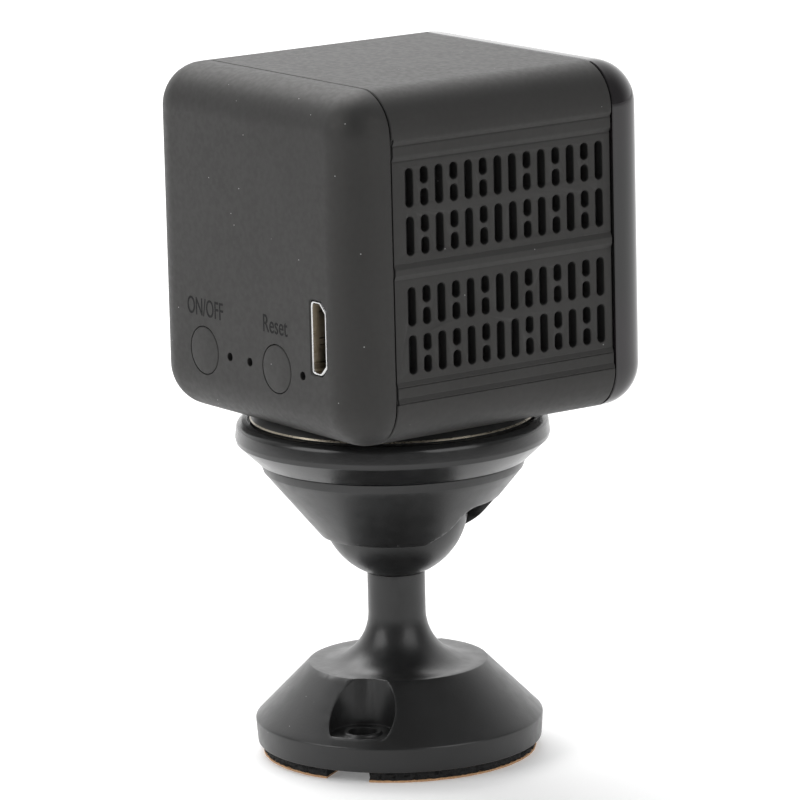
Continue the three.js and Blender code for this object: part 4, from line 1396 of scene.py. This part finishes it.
# %% Socket cone
CONE_LOW = lowest("socket_cone", Z)
CONE_TOP = highest("socket_cone", Z)
SEAT_R = BALL_R + 0.2
BORE_R = SEAT_R + 0.65 + 0.35
BORE_LOW = BALL.z + 1.5
SLOT_TURN = 210
SLOT_HALF = POST_R + 1.0


def cone_profile():
    rim = BALL.z - CONE_LOW
    rim_in = sqrt(SEAT_R ** 2 - rim ** 2)
    low = degrees(asin(-rim / SEAT_R))
    high = degrees(asin((BORE_LOW - BALL.z) / SEAT_R))
    seat = arc(0, BALL.z, SEAT_R, high, low, 16)
    outer = [
        (rim_in + 0.45, CONE_LOW, 0.12), (13.9, CONE_TOP - 0.95, 0.25), (14.2, CONE_TOP, 0.1),
        (BORE_R, CONE_TOP, 0), (BORE_R, BORE_LOW, 0),
    ]
    return softened(outer + seat, 4)


def mouth_cutter():
    """The slot's shape, open below, from the axis outwards along the slot."""
    half, top, low = SLOT_HALF, BALL.z + 1.15, CONE_LOW - 1
    wide = half + 1.5  # the mouth flares into the cone's rim
    side = [(wide, low, 0), (wide, CONE_LOW - 0.4, 0), (half, CONE_LOW + 1.5, 1.6), (half, top, 1.5)]
    outline = softened(side + [(-x, z, r) for x, z, r in reversed(side)], 10)
    loops = [[(x, y, z) for x, z in outline] for y in (0, 20)]
    turn = Matrix.Rotation(radians(SLOT_TURN - 90), 4, "Z")
    return made("cutter", stacked(loops), ink, turn=turn)


cone = made("socket_cone_shell", turned(ringed(cone_profile()), 160), finishes["stand_black"])
cut(cone, [mouth_cutter()], ease=0.1)
finished(cone, "head", "socket_cone")

# %% Mount ring
RING_LOW = lowest("mount_ring", Z)
RING_TOP = highest("mount_ring", Z)
RING_R = extent("mount_ring", Y) / 2 + 0.1
PLATE_R = 15.2
MAGNET_R = 14.2
MAGNET_LOW = lowest("magnet", Z)


def ring_profile():
    return softened(
        [
            (BORE_R, RING_LOW, 0), (14.45, RING_LOW, 0.1), (RING_R - 0.12, RING_LOW + 2.1, 0.12),
            (RING_R, RING_LOW + 2.6, 0.4), (RING_R - 0.18, RING_TOP - 0.5, 0.8),
            (RING_R - 0.75, RING_TOP, 0.35), (PLATE_R + 0.25, RING_TOP, 0.12),
            (PLATE_R + 0.25, UNDERSIDE - 1.6, 0), (MAGNET_R + 0.2, UNDERSIDE - 1.6, 0.1),
            (MAGNET_R + 0.2, MAGNET_LOW - 0.1, 0), (BORE_R, MAGNET_LOW - 0.1, 0),
        ]
    )


mount_ring = made("mount_ring_turned", turned(ring_profile(), 144), ring_black)
screw_wells = []
for i in (1, 2, 3):
    well_low, well_high = (Vector(corner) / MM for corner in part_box(f"head_screw_{i}"))
    x, y = (well_low.x + well_high.x) / 2, (well_low.y + well_high.y) / 2
    outline = [(0, RING_LOW - 1), (0.9, RING_LOW - 1), (0.9, well_high.z - 1.0), (1.75, well_high.z - 1.0)]
    outline += [(1.75, well_high.z + 1), (0, well_high.z + 1)]
    screw_wells.append(made("cutter", turned(outline, 32), ink, (x, y, 0)))
cut(mount_ring, screw_wells)
finished(mount_ring, "head", "mount_ring")

# %% Magnet plate
PLATE_LOW = lowest("magnet_plate", Z)
PLATE_TOP = highest("magnet_plate", Z)
plate_profile = softened(
    [
        (0, PLATE_LOW, 0), (PLATE_R, PLATE_LOW, 0.1), (PLATE_R, PLATE_TOP - 0.95, 0.04),
        (PLATE_R - 0.1, PLATE_TOP - 0.78, 0.03), (PLATE_R - 0.6, PLATE_TOP, 0.15), (0, PLATE_TOP, 0),
    ]
)
plate = made("magnet_plate_turned", turned(plate_profile, 144), finishes["plate"])
plate.data.materials.append(worn_edge)
for face in plate.data.polygons:
    # the edge that the ring rubs bright
    # a bright warm metal band on the edge: a painted highlight
    if PLATE_TOP - 0.97 < face.center.z / MM < PLATE_TOP - 0.76 and face.normal.z > 0.2:
        face.material_index = 1
finished(plate, "turntable", "magnet_plate")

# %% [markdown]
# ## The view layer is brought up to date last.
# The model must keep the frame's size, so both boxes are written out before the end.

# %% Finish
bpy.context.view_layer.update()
